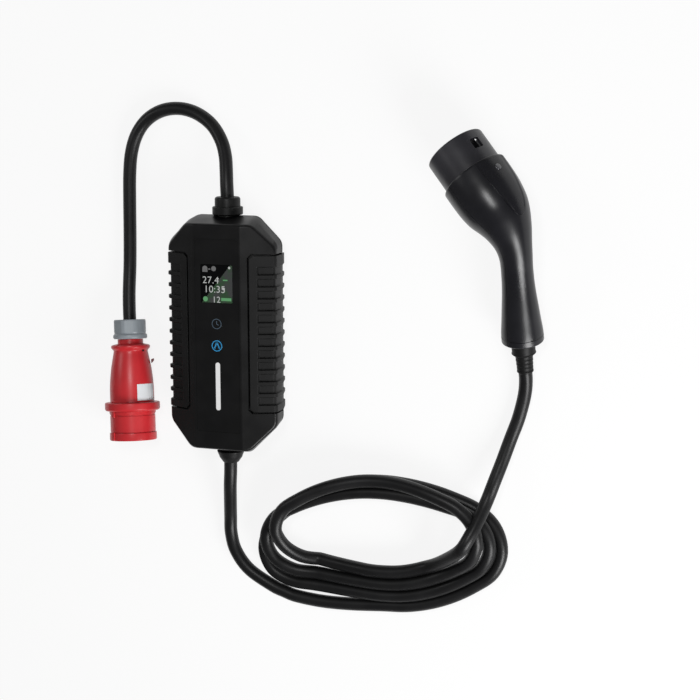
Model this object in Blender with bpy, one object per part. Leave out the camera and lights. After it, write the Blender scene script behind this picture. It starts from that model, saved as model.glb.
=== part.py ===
"""Portable three-phase electric vehicle charger.

A control box with a display and rubber side grips lies on its back, front face up. A short input
cord loops over to a red five-pole plug. The long output cord lies in an oval coil and ends in a
seven-contact vehicle connector. Metres, +Z up, the picture's upward direction along +Y. The origin is
the centre of the control box's flat back.
"""

from math import acos, asin, cos, pi, radians, sin, tan, tau

import bmesh
import bpy
from mathutils import Matrix, Vector

# Clearances
GAP = 0.0003
SEAM = 0.0006

# Control box
BOX_HALF_WIDTH = 0.055
BOX_HALF_LENGTH = 0.1145
BOX_HEIGHT = 0.056
PARTING = 0.026
SHOULDER = 0.0444
CORNER_CUT = (0.0237, 0.0340)
CORNER_RADIUS = 0.011
PLATEAU_HALF_WIDTH = 0.024
SHOULDER_HALF_WIDTH, SHOULDER_HALF_LENGTH = 0.0536, 0.1066

# Front panel
PANEL_HALF_WIDTH = 0.022
PANEL_BOTTOM, PANEL_TOP = -0.0905, 0.094
PANEL_THICKNESS = 0.0006
DISPLAY_HALF_WIDTH, DISPLAY_HALF_LENGTH = 0.016, 0.018
DISPLAY_Y = 0.052
TIMER_KEY_Y, TIMER_KEY_RADIUS = 0.0135, 0.0048
CURRENT_KEY_Y, CURRENT_KEY_RADIUS = -0.0071, 0.0056
BAR_Y, BAR_HALF_LENGTH, BAR_HALF_WIDTH = -0.0463, 0.023, 0.0022

# Side grips
GRIP_BOTTOM, GRIP_TOP = -0.070, 0.079
GRIP_INNER_EDGE = 0.0316
GRIP_CLEARANCE = 0.0016
GRIP_GROOVES = 12
GROOVE_PITCH = 0.0113
GROOVE_WIDTH = 0.0066
GROOVE_WALL = 0.0007
FIRST_GROOVE_Y = 0.0648

# Housing screws and their pillars
SCREW_PLACES = [(x, y) for y in (-0.080, 0.0, 0.080) for x in (-0.034, 0.034)]
SCREW_SIDES = 8
PILLAR_RADIUS = 0.004
SCREW_HEAD_RADIUS, SCREW_SHANK_RADIUS = 0.0029, 0.0014
SCREW_HEAD_LOW, SCREW_HEAD_HIGH, SCREW_TIP = 0.0006, 0.0028, 0.042

# Cable glands: sizes along the axis run from the housing's end face
GLAND_HOLE_RADIUS, GLAND_SHANK_RADIUS, GLAND_SHANK_LENGTH = 0.0093, 0.0089, 0.0165
GLAND_FLANGE_RADIUS, GLAND_SIDES = 0.0146, 20
LOCK_NUT_FACE, LOCK_NUT_RADIUS, LOCK_NUT_THICKNESS = 0.1045, 0.0113, 0.0055

# Cords
CORD_RADIUS = 0.0064
CORD_SPACING, CORD_END = 0.025, 0.004
SPLINE_STEPS = 12
INPUT_ROUTE = [
    (-0.0002, 0.1320, 0.0260), (-0.0008, 0.1430, 0.0256), (-0.0022, 0.1560, 0.0228),
    (-0.0048, 0.1700, 0.0186), (-0.0104, 0.1840, 0.0146), (-0.0215, 0.1985, 0.0108),
    (-0.0380, 0.2090, 0.0078), (-0.0560, 0.2135, 0.0068), (-0.0745, 0.2115, 0.0066),
    (-0.0905, 0.2030, 0.0066), (-0.1020, 0.1890, 0.0066), (-0.1085, 0.1710, 0.0066),
    (-0.1110, 0.1500, 0.0066), (-0.1118, 0.1220, 0.0066), (-0.1122, 0.0900, 0.0068),
    (-0.1124, 0.0600, 0.0082), (-0.1122, 0.0350, 0.0118), (-0.1113, 0.0180, 0.0143),
    (-0.1104, 0.0073, 0.0158),
]
LEAD_ROUTE = [
    (-0.0004, -0.1270, 0.0260), (-0.0008, -0.1370, 0.0255), (-0.0028, -0.1520, 0.0222),
    (-0.0056, -0.1700, 0.0156), (-0.0082, -0.1880, 0.0092), (-0.0088, -0.2050, 0.0068),
    (-0.0040, -0.2230, 0.0066), (0.0100, -0.2410, 0.0066), (0.0350, -0.2555, 0.0066),
    (0.0480, -0.2602, 0.0066), (0.0600, -0.2636, 0.0066),
]
RISER_ROUTE = [
    (0.2050, -0.2150, 0.0200), (0.2190, -0.2065, 0.0200), (0.2335, -0.1915, 0.0200),
    (0.2435, -0.1755, 0.0200), (0.2495, -0.1610, 0.0199), (0.2543, -0.1470, 0.0194),
    (0.2603, -0.1290, 0.0172), (0.2668, -0.1090, 0.0116), (0.2731, -0.0890, 0.0078),
    (0.2797, -0.0700, 0.0066), (0.2841, -0.0530, 0.0067), (0.2862, -0.0410, 0.0072),
    (0.2868, -0.0305, 0.0088), (0.2866, -0.0236, 0.0106),
]

# Cord coil: outer and inner edges of the bundle, seen from above
COIL_OUTER_CENTRE, COIL_OUTER = (0.1470, -0.2000), (0.1255, 0.0700)
COIL_INNER_CENTRE, COIL_INNER = (0.1420, -0.1860), (0.0950, 0.0305)
COIL_SQUARENESS = 2.2
COIL_LOW, COIL_HIGH = 0.0132, 0.0250

# Five-pole plug: distances run from the cord entry towards the open sleeve
PLUG_ENTRY = Vector((-0.1104, 0.0069, 0.01588))
PLUG_TILT, PLUG_TURN = radians(7.7), radians(4.3)
NUT_LENGTH, NUT_RADIUS, NUT_RIM_RADIUS = 0.0190, 0.0159, 0.0167
PLUG_RING_RADIUS, PLUG_BODY_RADIUS = 0.0191, 0.0217
PLUG_BODY_END = 0.0815
FLANGE_RADIUS, FLANGE_LENGTH = 0.02705, 0.0085
SLEEVE_RADIUS, SLEEVE_BORE = 0.0224, 0.0200
PLUG_LENGTH, PLUG_SIDES = 0.1190, 28
PIN_CIRCLE, PIN_RADIUS, EARTH_PIN_RADIUS = 0.0128, 0.0024, 0.0031
KEYWAY_FROM_TOP, LATCH_FROM_TOP = radians(-30), radians(112)

# Vehicle connector: distances run from the front of the collar along the centre line
GUN_FRONT = Vector((0.2218, 0.1802, 0.0280))
GUN_BEND = Vector((0.2813, 0.1084, 0.0470))
GUN_END = Vector((0.2854, 0.0066, 0.0189))
COLLAR_RADIUS, COLLAR_BORE, COLLAR_LENGTH = 0.0282, 0.0250, 0.0310
GUN_BEND_TANGENT = 0.028
GUN_RADII = [
    (0.0315, 0.0314), (0.0441, 0.0314), (0.0587, 0.0307), (0.0722, 0.0283), (0.0821, 0.0248),
    (0.0911, 0.0213), (0.1051, 0.0167), (0.1189, 0.0147), (0.1353, 0.0146), (0.1489, 0.0153),
    (0.1624, 0.0166), (0.1768, 0.0180), (0.1883, 0.0192), (0.1972, 0.0194),
]
SHELL_START = 0.0317
SHELL_STATIONS = [
    0.0441, 0.0550, 0.0650, 0.0722, 0.0800, 0.0880, 0.0960, 0.1050, 0.1140, 0.1240, 0.1350, 0.1470,
    0.1590, 0.1710, 0.1820,
]
HOUSING_SEAM_PLACE = 0.1908
RELIEF_LENGTH, RELIEF_RIBS, RELIEF_RIB_START, RELIEF_RIB_PITCH = 0.0305, 4, 0.0130, 0.0039
EMBLEM_START, EMBLEM_END, EMBLEM_HALF_WIDTH = 0.0340, 0.0842, 0.0150
LED_PLACE, LED_RADIUS, LED_SIDES = 0.0447, 0.0030, 14
LOCK_PLACE, LOCK_HALF_WIDTH, LOCK_HALF_LENGTH = 0.0140, 0.0048, 0.0050
CARRIER_RADIUS, CARRIER_FLAT = 0.0190, 0.0135
CONTACT_SIDES = 12
CONTACTS = {
    "l1": (0.0098, 0.0000, 0.0040), "n": (-0.0098, 0.0000, 0.0040), "pe": (0.0, 0.0, 0.0040),
    "l2": (0.0052, -0.0098, 0.0040), "l3": (-0.0052, -0.0098, 0.0040),
    "cp": (0.0050, 0.0085, 0.0028), "pp": (-0.0050, 0.0085, 0.0028),
}


def clear_scene():
    """Remove every object of the startup scene."""
    for obj in list(bpy.data.objects):
        bpy.data.objects.remove(obj, do_unlink=True)


def material(name, colour, roughness, metallic=0.0):
    """Return a new Principled material."""
    made = bpy.data.materials.new(name)
    made.use_nodes = True
    shader = made.node_tree.nodes["Principled BSDF"]
    shader.inputs["Base Color"].default_value = (*colour, 1.0)
    shader.inputs["Roughness"].default_value = roughness
    shader.inputs["Metallic"].default_value = metallic
    return made


def add(name, bm, finish, place=None, helper=False):
    """Turn a bmesh into an object; a helper is a cutter or a join that never becomes a piece."""
    bmesh.ops.recalc_face_normals(bm, faces=bm.faces)
    mesh = bpy.data.meshes.new(name)
    if place is not None:
        bm.transform(place)
    bm.to_mesh(mesh)
    bm.free()
    mesh.shade_smooth()
    mesh.set_sharp_from_angle(angle=radians(35))
    if finish is not None:
        mesh.materials.append(finish)
    obj = bpy.data.objects.new(name, mesh)
    bpy.context.scene.collection.objects.link(obj)
    if helper:
        obj.hide_render = True
        obj.display_type = "WIRE"
    return obj


def boolean(target, tool, operation="DIFFERENCE"):
    """Cut the tool from the target, or join it on."""
    modifier = target.modifiers.new(tool.name, "BOOLEAN")
    modifier.operation = operation
    modifier.solver = "EXACT"
    modifier.object = tool


def loft(sections, ring=False):
    """Return a closed bmesh through sections of equally many points; a ring's last meets its first."""
    bm = bmesh.new()
    rows = [[bm.verts.new(point) for point in section] for section in sections]
    pairs = list(zip(rows, rows[1:]))
    if ring:
        pairs.append((rows[-1], rows[0]))
    count = len(rows[0])
    for low, high in pairs:
        for i in range(count):
            j = (i + 1) % count
            bm.faces.new((low[i], low[j], high[j], high[i]))
    if not ring:
        bm.faces.new(rows[0])
        bm.faces.new(rows[-1])
    return bm


def turned(profile, steps, closed=False):
    """Return a profile of (radius, height) points turned about Z; a closed one leaves a bore."""
    bm = bmesh.new()
    verts = [bm.verts.new((radius, 0.0, height)) for radius, height in profile]
    pairs = list(zip(verts, verts[1:]))
    if closed:
        pairs.append((verts[-1], verts[0]))
    edges = [bm.edges.new(pair) for pair in pairs]
    bmesh.ops.spin(
        bm, geom=verts + edges, cent=(0, 0, 0), axis=(0, 0, 1), angle=tau, steps=steps, use_merge=True
    )
    bmesh.ops.remove_doubles(bm, verts=bm.verts, dist=1e-6)
    return bm


def block(low, high, bevel=0.0):
    """Return a box between two corners, with its edges cut by the bevel."""
    bm = bmesh.new()
    size = Vector(high) - Vector(low)
    middle = (Vector(high) + Vector(low)) / 2
    bmesh.ops.create_cube(bm, size=1.0, matrix=Matrix.Translation(middle) @ Matrix.Diagonal((*size, 1)))
    if bevel:
        bmesh.ops.bevel(
            bm, geom=bm.edges, offset=bevel, segments=1, profile=0.5, affect="EDGES", material=-1
        )
    return bm


def rounded(corners, radius, steps):
    """Round each corner of a convex outline into an arc of steps + 1 points."""
    outline = []
    count = len(corners)
    for i, corner in enumerate(corners):
        here = Vector(corner)
        before = (Vector(corners[i - 1]) - here).normalized()
        after = (Vector(corners[(i + 1) % count]) - here).normalized()
        opening = before.angle(after)
        reach = radius / tan(opening / 2)
        centre = here + (before + after).normalized() * (radius / sin(opening / 2))
        start = here + before * reach - centre
        end = here + after * reach - centre
        sweep = start.angle_signed(end)
        for k in range(steps + 1):
            turn = Matrix.Rotation(-sweep * k / steps, 2)
            point = centre + turn @ start
            outline.append((point.x, point.y))
    return outline


def octagon(half_width, half_length, cuts, radius=CORNER_RADIUS, steps=2):
    """Return the control box's eight-sided outline, its top and bottom corners cut by two sizes."""
    x, y = half_width, half_length
    top, bottom = cuts
    corners = [
        (x, -y + bottom), (x, y - top), (x - top, y), (-x + top, y),
        (-x, y - top), (-x, -y + bottom), (-x + bottom, -y), (x - bottom, -y),
    ]
    return rounded(corners, radius, steps)


def rectangle(half_width, low, high, radius, steps=2):
    """Return a rectangle, centred on X, with rounded corners."""
    corners = [(half_width, low), (half_width, high), (-half_width, high), (-half_width, low)]
    return rounded(corners, radius, steps)


def at_height(outline, height):
    """Lift a plan outline to a height."""
    return [(x, y, height) for x, y in outline]


def prism(outline, bottom, top):
    """Return a plan outline extruded between two heights."""
    return loft([at_height(outline, bottom), at_height(outline, top)])


def circle(radius, steps, centre=(0.0, 0.0)):
    """Return a round plan outline."""
    return [
        (centre[0] + radius * cos(tau * i / steps), centre[1] + radius * sin(tau * i / steps))
        for i in range(steps)
    ]


def facet_height(x):
    """Return the front's height: level in the middle, then falling to the shoulder."""
    fall = (BOX_HEIGHT - SHOULDER) / (SHOULDER_HALF_WIDTH - PLATEAU_HALF_WIDTH)
    return BOX_HEIGHT - fall * max(abs(x) - PLATEAU_HALF_WIDTH, 0.0)


def on_front(outline, drop):
    """Lay a plan outline on the front's faces, or a little below them."""
    return [(x, y, facet_height(x) - drop) for x, y in outline]


# Control box


def make_front_housing(finish):
    """The upper shell: an open tray, upside down, with pockets for the grips and the panel."""
    rim = PARTING + SEAM
    shoulder = octagon(SHOULDER_HALF_WIDTH, SHOULDER_HALF_LENGTH, (0.0205, 0.0234))
    middle = [(min(max(x, -PLATEAU_HALF_WIDTH), PLATEAU_HALF_WIDTH), y) for x, y in shoulder]
    sections = [
        at_height(octagon(0.0270, 0.0950, (0.0120, 0.0120), 0.004), 0.0470),
        at_height(octagon(0.0460, 0.1050, (0.0234, 0.0264)), 0.0405),
        at_height(octagon(0.0475, 0.1070, (0.0201, 0.0296)), rim),
        at_height(octagon(BOX_HALF_WIDTH, BOX_HALF_LENGTH, CORNER_CUT), rim),
        at_height(octagon(0.0552, 0.1122, (0.0227, 0.0285)), 0.0390),
        on_front(octagon(0.0549, 0.1082, (0.0214, 0.0243)), 0.0016),
        on_front(shoulder, 0.0),
        at_height(middle, BOX_HEIGHT),
    ]
    housing = add("front_housing", loft(sections), finish)
    cut_pockets(housing)
    recess_floor = BOX_HEIGHT - PANEL_THICKNESS - GAP
    panel = rectangle(PANEL_HALF_WIDTH + GAP, PANEL_BOTTOM - GAP, PANEL_TOP + GAP, 0.003)
    boolean(housing, add("panel_recess", prism(panel, recess_floor, 0.060), None, helper=True))
    window = display_outline(0.0006)
    boolean(housing, add("window_seat", prism(window, 0.0547, 0.060), None, helper=True))
    module = display_outline(-0.0008)
    boolean(housing, add("window_opening", prism(module, 0.040, 0.060), None, helper=True))
    slot = bar_outline(0.0003)
    boolean(housing, add("bar_slot", prism(slot, 0.040, 0.060), None, helper=True))
    for i, (x, y) in enumerate(SCREW_PLACES):
        pillar = turned(pillar_profile(rim + 0.0002, 0.0462), SCREW_SIDES, closed=True)
        place = Matrix.Translation((x, y, 0))
        boolean(housing, add(f"front_pillar_{i}", pillar, None, place, helper=True), "UNION")
    cut_gland_holes(housing, "front")
    return housing


def make_rear_housing(finish):
    """The lower shell: an open tray with counterbored screw pillars."""
    rim = PARTING - SEAM
    rings = [
        (0.0425, 0.1040, (0.0178, 0.0263), 0.0), (0.0452, 0.1068, (0.0194, 0.0279), 0.0018),
        (0.0470, 0.1085, (0.0204, 0.0289), 0.0060), (BOX_HALF_WIDTH, BOX_HALF_LENGTH, CORNER_CUT, rim),
        (0.0475, 0.1070, (0.0201, 0.0296), rim), (0.0420, 0.1015, (0.0169, 0.0254), 0.0036),
    ]
    sections = [
        at_height(octagon(width, length, cuts), height) for width, length, cuts, height in rings
    ]
    housing = add("rear_housing", loft(sections), finish)
    cut_pockets(housing)
    for i, (x, y) in enumerate(SCREW_PLACES):
        place = Matrix.Translation((x, y, 0))
        pillar = prism(circle(PILLAR_RADIUS, SCREW_SIDES), 0.0020, rim - 0.0002)
        boolean(housing, add(f"rear_pillar_{i}", pillar, None, place, helper=True), "UNION")
    wide, narrow = SCREW_HEAD_RADIUS + 0.0004, SCREW_SHANK_RADIUS + 0.0004
    step = SCREW_HEAD_HIGH + GAP
    bore_profile = [(0, -0.001), (wide, -0.001), (wide, step), (narrow, step), (narrow, 0.030), (0, 0.030)]
    for i, (x, y) in enumerate(SCREW_PLACES):
        place = Matrix.Translation((x, y, 0))
        bore = turned(bore_profile, SCREW_SIDES)
        boolean(housing, add(f"screw_bore_{i}", bore, None, place, helper=True))
    cut_gland_holes(housing, "rear")
    return housing


def cut_pockets(housing):
    """Cut the hollows that seat the two grips."""
    for side in (-1, 1):
        ends = grip_ends(GRIP_CLEARANCE)
        pocket = loft([pocket_section(side, y, edge) for y, edge in ends])
        boolean(housing, add(f"{housing.name}_pocket_{side}", pocket, None, helper=True))


def pillar_profile(bottom, top):
    """Return the section of a hollow screw pillar."""
    bore = SCREW_SHANK_RADIUS + GAP
    return [(bore, bottom), (PILLAR_RADIUS, bottom), (PILLAR_RADIUS, top), (bore, top)]


def cut_gland_holes(housing, label):
    """Cut the half-round holes that take the two cable glands."""
    for name, y in (("input", BOX_HALF_LENGTH - 0.004), ("output", -BOX_HALF_LENGTH + 0.004)):
        tool = prism(circle(GLAND_HOLE_RADIUS, GLAND_SIDES), -0.012, 0.012)
        place = Matrix.Translation((0, y, PARTING)) @ Matrix.Rotation(pi / 2, 4, "X")
        boolean(housing, add(f"{label}_{name}_hole", tool, None, place, helper=True))


def make_gasket(side, finish):
    """One half of the seal in the parting line; the glands part it in two."""
    outer = octagon(0.0499, 0.1098, (0.0216, 0.0311))
    inner = octagon(0.0483, 0.1082, (0.0207, 0.0302))
    low, high = PARTING - SEAM / 2, PARTING + SEAM / 2
    sections = [
        [(*inner[i], low), (*outer[i], low), (*outer[i], high), (*inner[i], high)]
        for i in range(len(outer))
    ]
    name = "housing_gasket_right" if side > 0 else "housing_gasket_left"
    gasket = add(name, loft(sections, ring=True), finish)
    near, far = sorted((side * 0.0097, -side * 0.070))
    tool = block((near, -0.150, 0.0), (far, 0.150, 0.060))
    boolean(gasket, add(f"{name}_end", tool, None, helper=True))
    return gasket


def grip_ends(grow):
    """Return the (y, inner edge) stations that close a grip's cut corners, grown all round."""
    inner = GRIP_INNER_EDGE - grow
    cut = 0.0034
    return [
        (GRIP_BOTTOM - grow, inner + cut), (GRIP_BOTTOM - grow + cut, inner),
        (GRIP_TOP + grow - cut, inner), (GRIP_TOP + grow, inner + cut),
    ]


def pocket_section(side, y, edge):
    """Return the section of the hollow that seats a grip, open outwards."""
    line = [
        (edge, 0.0620), (edge, facet_height(edge) - 0.0040), (0.0492, 0.0423), (0.0505, 0.0400),
        (0.0507, 0.0260), (0.0476, 0.0112), (0.0640, 0.0112), (0.0640, 0.0620),
    ]
    return [(side * x, y, z) for x, z in line]


def grip_section(side, y, edge, grooved):
    """Return a grip's section over the shoulder and down the side, at a rib or at a groove."""
    rib = [
        (0.0391, facet_height(0.0391) + 0.0006), (0.0500, facet_height(0.0500) + 0.0007),
        (0.0534, 0.0450), (0.0554, 0.0424), (0.0563, 0.0288), (0.0520, 0.0128),
    ]
    groove = [
        (0.0396, facet_height(0.0396) - 0.0016), (0.0489, facet_height(0.0489) - 0.0016),
        (0.0517, 0.0434), (0.0535, 0.0410), (0.0546, 0.0288), (0.0505, 0.0128),
    ]
    rim = [(edge, facet_height(edge) + 0.0001), (0.0386, facet_height(0.0386) + 0.0006)]
    back = [
        (0.0486, 0.0130), (0.0511, 0.0262), (0.0509, 0.0402), (0.0494, 0.0428),
        (edge, facet_height(edge) - 0.0034),
    ]
    line = rim + (groove if grooved else rib) + back
    return [(side * x, y, z) for x, z in line]


def make_grip(side, finish):
    """A rubber grip with a flat rim and deep cross grooves wrapped over the shoulder."""
    bottom, low, high, top = grip_ends(0.0)
    sections = [grip_section(side, *top, False), grip_section(side, *high, False)]
    for i in range(GRIP_GROOVES):
        middle = FIRST_GROOVE_Y - i * GROOVE_PITCH
        half = GROOVE_WIDTH / 2
        for y, grooved in (
            (middle + half + GROOVE_WALL, False), (middle + half, True),
            (middle - half, True), (middle - half - GROOVE_WALL, False),
        ):
            sections.append(grip_section(side, y, GRIP_INNER_EDGE, grooved))
    sections += [grip_section(side, *low, False), grip_section(side, *bottom, False)]
    name = "grip_right" if side > 0 else "grip_left"
    return add(name, loft(sections), finish)


def display_outline(grow):
    """Return the display window's outline, grown all round."""
    low, high = DISPLAY_Y - DISPLAY_HALF_LENGTH, DISPLAY_Y + DISPLAY_HALF_LENGTH
    return rectangle(DISPLAY_HALF_WIDTH + grow, low - grow, high + grow, 0.0012)


def bar_outline(grow):
    """Return the status light's outline with round ends, grown all round."""
    radius = BAR_HALF_WIDTH + grow
    low, high = BAR_Y - BAR_HALF_LENGTH - grow, BAR_Y + BAR_HALF_LENGTH + grow
    return rectangle(radius, low, high, radius * 0.98, steps=4)


def make_panel(finish):
    """The thin front overlay, open at the display, the two keys and the status light."""
    top = BOX_HEIGHT
    outline = rectangle(PANEL_HALF_WIDTH, PANEL_BOTTOM, PANEL_TOP, 0.003)
    panel = add("panel_overlay", prism(outline, top - PANEL_THICKNESS, top), finish)
    openings = {
        "display_cut": display_outline(0.0006),
        "timer_cut": circle(TIMER_KEY_RADIUS + GAP, 20, (0, TIMER_KEY_Y)),
        "current_cut": circle(CURRENT_KEY_RADIUS + GAP, 20, (0, CURRENT_KEY_Y)),
        "bar_cut": bar_outline(0.0003),
    }
    for name, opening in openings.items():
        boolean(panel, add(name, prism(opening, 0.050, 0.060), None, helper=True))
    return panel


def make_indicators(glass, screen, key, light):
    """The display with its window, the two touch keys and the status light bar."""
    add("display_window", prism(display_outline(0.0), 0.0550, BOX_HEIGHT - 0.0001), glass)
    add("display_module", prism(display_outline(-0.0013), 0.0463, 0.0544), screen)
    for name, y, radius in (
        ("timer_key_light", TIMER_KEY_Y, TIMER_KEY_RADIUS),
        ("current_key_light", CURRENT_KEY_Y, CURRENT_KEY_RADIUS),
    ):
        disc = prism(circle(radius, 20, (0, y)), BOX_HEIGHT - PANEL_THICKNESS, BOX_HEIGHT + 0.0001)
        add(name, disc, key)
    add("status_light_bar", prism(bar_outline(0.0), 0.0463, BOX_HEIGHT + 0.0001), light)


def make_electronics(board, relay, copper, ferrite, terminal):
    """The boards and the parts that switch, sense and feed, inside the closed box."""
    add("main_board", prism(octagon(0.0290, 0.0920, (0.0140, 0.0140), 0.003), 0.0180, 0.0196), board)
    add("display_board", prism(rectangle(0.0235, -0.076, 0.076, 0.002), 0.0444, 0.0460), board)
    deck = 0.0199
    for i, y in enumerate((0.012, -0.024)):
        add(f"relay_{i + 1}", block((-0.027, y, deck), (-0.005, y + 0.032, 0.0385), 0.001), relay)
    add("power_supply", block((0.004, 0.018, deck), (0.027, 0.046, 0.0400), 0.002), copper)
    ring = turned([(0.007, 0), (0.013, 0), (0.013, 0.012), (0.007, 0.012)], 20, closed=True)
    place = Matrix.Translation((0.014, -0.012, deck))
    add("residual_current_sensor", ring, ferrite, place)
    for name, y in (("input_terminals", 0.066), ("output_terminals", -0.080)):
        add(name, block((-0.020, y, deck), (0.020, y + 0.014, 0.0340), 0.0012), terminal)


def make_housing_screws(finish):
    """Six countersunk screws that hold the two shells together from the back."""
    profile = [
        (0, SCREW_HEAD_LOW), (SCREW_HEAD_RADIUS, SCREW_HEAD_LOW), (SCREW_HEAD_RADIUS, SCREW_HEAD_HIGH),
        (SCREW_SHANK_RADIUS, SCREW_HEAD_HIGH), (SCREW_SHANK_RADIUS, SCREW_TIP), (0, SCREW_TIP),
    ]
    for i, (x, y) in enumerate(SCREW_PLACES):
        screw = turned(profile, SCREW_SIDES)
        add(f"housing_screw_{i + 1}", screw, finish, Matrix.Translation((x, y, 0)))


def make_glands(finish, metal):
    """The stepped cable glands in the box's two ends, with their lock nuts inside."""
    face = BOX_HALF_LENGTH + GAP
    flange = GLAND_FLANGE_RADIUS
    shank = [
        (0, -GLAND_SHANK_LENGTH), (GLAND_SHANK_RADIUS, -GLAND_SHANK_LENGTH), (GLAND_SHANK_RADIUS, 0),
    ]
    stepped = shank + [
        (flange - 0.0006, 0), (flange, 0.0006), (flange, 0.0070), (flange - 0.0006, 0.0076),
        (0.0122, 0.0076), (0.0122, 0.0148), (0.0117, 0.0160), (0.0106, 0.0168), (0, 0.0168),
    ]
    tapered = shank + [
        (0.0130, 0), (0.0134, 0.0005), (0.0128, 0.0022), (0.0115, 0.0050), (0.0112, 0.0064),
        (0.0094, 0.0090), (0.0079, 0.0112), (0.0072, 0.0118), (0, 0.0118),
    ]
    up = Matrix.Translation((0, face, PARTING)) @ Matrix.Rotation(-pi / 2, 4, "X")
    down = Matrix.Translation((0, -face, PARTING)) @ Matrix.Rotation(pi / 2, 4, "X")
    add("input_gland", turned(stepped, GLAND_SIDES), finish, up)
    add("output_gland", turned(tapered, GLAND_SIDES), finish, down)
    inside = LOCK_NUT_FACE - face
    for name, place in (("input_lock_nut", up), ("output_lock_nut", down)):
        hexagon = prism(circle(LOCK_NUT_RADIUS, 6), inside - LOCK_NUT_THICKNESS, inside)
        nut = add(name, hexagon, metal, place)
        bore = prism(circle(GLAND_HOLE_RADIUS, GLAND_SIDES), -0.020, 0.0)
        boolean(nut, add(f"{name}_bore", bore, None, place, helper=True))


# Five-pole plug


def plug_place():
    """Return the plug's frame: its axis is +Z, from the cord entry to the open sleeve."""
    axis = Vector((sin(PLUG_TURN) * cos(PLUG_TILT), -cos(PLUG_TURN) * cos(PLUG_TILT), sin(PLUG_TILT)))
    side = Vector((0, 0, 1)).cross(axis).normalized()
    turn = Matrix((side, axis.cross(side), axis)).transposed().to_4x4()
    return Matrix.Translation(PLUG_ENTRY) @ turn


def plug_line(place, from_top):
    """Turn the plug's frame so that its X points at a line that lies right of the uppermost one."""
    return place @ Matrix.Rotation(pi / 2 - from_top, 4, "Z")


def make_plug_nut(place, finish):
    """The ribbed clamping nut with a flared rim, and the seal that shows in its mouth."""
    steps = 32
    rows = []
    for height, radius, rib in (
        (0.0, 0.0150, 0.0), (0.0010, NUT_RADIUS, 0.0), (0.0020, NUT_RADIUS, 0.0006),
        (0.0125, NUT_RADIUS, 0.0006), (0.0138, 0.0154, 0.0), (0.0150, NUT_RIM_RADIUS - 0.0004, 0.0),
        (0.0156, NUT_RIM_RADIUS, 0.0), (0.0178, NUT_RIM_RADIUS, 0.0), (NUT_LENGTH, 0.0158, 0.0),
    ):
        outline = []
        for i in range(steps):
            bump = rib if i % 4 < 2 else 0.0
            angle = tau * i / steps
            outline.append(((radius - bump) * cos(angle), (radius - bump) * sin(angle), height))
        rows.append(outline)
    nut = add("plug_gland_nut", loft(rows), finish, place)
    mouth = turned([(0, -0.001), (0.0098, -0.001), (0.0092, 0.0030), (0, 0.0030)], 20)
    boolean(nut, add("nut_mouth", mouth, None, place, helper=True))


def make_plug_body(place, red, seal):
    """The waisted rear housing: neck, raised rear ring and a body that swells to the flange."""
    start = NUT_LENGTH + GAP
    profile = [
        (0, start), (0.0125, start), (0.0125, 0.0236), (0.0174, 0.0248), (PLUG_RING_RADIUS, 0.0260),
        (PLUG_RING_RADIUS, 0.0278), (0.0178, 0.0294), (0.0167, 0.0308), (0.0172, 0.0340),
        (0.0188, 0.0420), (0.0201, 0.0500), (0.0211, 0.0590), (PLUG_BODY_RADIUS, 0.0690),
        (PLUG_BODY_RADIUS, PLUG_BODY_END - GAP), (0, PLUG_BODY_END - GAP),
    ]
    add("plug_housing", turned(profile, PLUG_SIDES), red, place)
    inner = CORD_RADIUS + 0.0004
    ring = [(inner, 0.0006), (0.0090, 0.0006), (0.0086, 0.0027), (inner, 0.0027)]
    add("plug_cord_seal", turned(ring, 20, closed=True), seal, place)


def make_plug_sleeve(place, finish):
    """The flange and the open sleeve, with its lip, rear web and keyway rib."""
    front = PLUG_LENGTH
    lip = front - 0.0075
    flange_end = PLUG_BODY_END + FLANGE_LENGTH
    profile = [
        (0, PLUG_BODY_END), (0.0262, PLUG_BODY_END), (FLANGE_RADIUS, PLUG_BODY_END + 0.0008),
        (FLANGE_RADIUS, flange_end - 0.0015), (0.0262, flange_end - 0.0004), (0.0240, flange_end),
        (SLEEVE_RADIUS + 0.0004, flange_end + 0.0003), (SLEEVE_RADIUS + 0.0004, flange_end + 0.0022),
        (SLEEVE_RADIUS - 0.0002, flange_end + 0.0026), (SLEEVE_RADIUS - 0.0002, lip - 0.0004),
        (SLEEVE_RADIUS + 0.0005, lip), (SLEEVE_RADIUS + 0.0007, front - 0.0006),
        (SLEEVE_RADIUS, front), (SLEEVE_BORE + 0.0006, front), (SLEEVE_BORE, front - 0.0006),
        (SLEEVE_BORE, flange_end), (0, flange_end),
    ]
    sleeve = add("plug_sleeve", turned(profile, PLUG_SIDES), finish, place)
    for name, start, end, height in (
        ("keyway_rib", lip - 0.0010, front - 0.0004, 0.0018),
        ("rear_rib", flange_end - 0.0010, flange_end + 0.0060, 0.0012),
    ):
        rib = block(
            (SLEEVE_RADIUS - 0.0012, -0.0022, start), (SLEEVE_RADIUS + height, 0.0022, end), 0.0004
        )
        turn = plug_line(place, KEYWAY_FROM_TOP)
        boolean(sleeve, add(name, rib, None, turn, helper=True), "UNION")
    return sleeve


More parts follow.
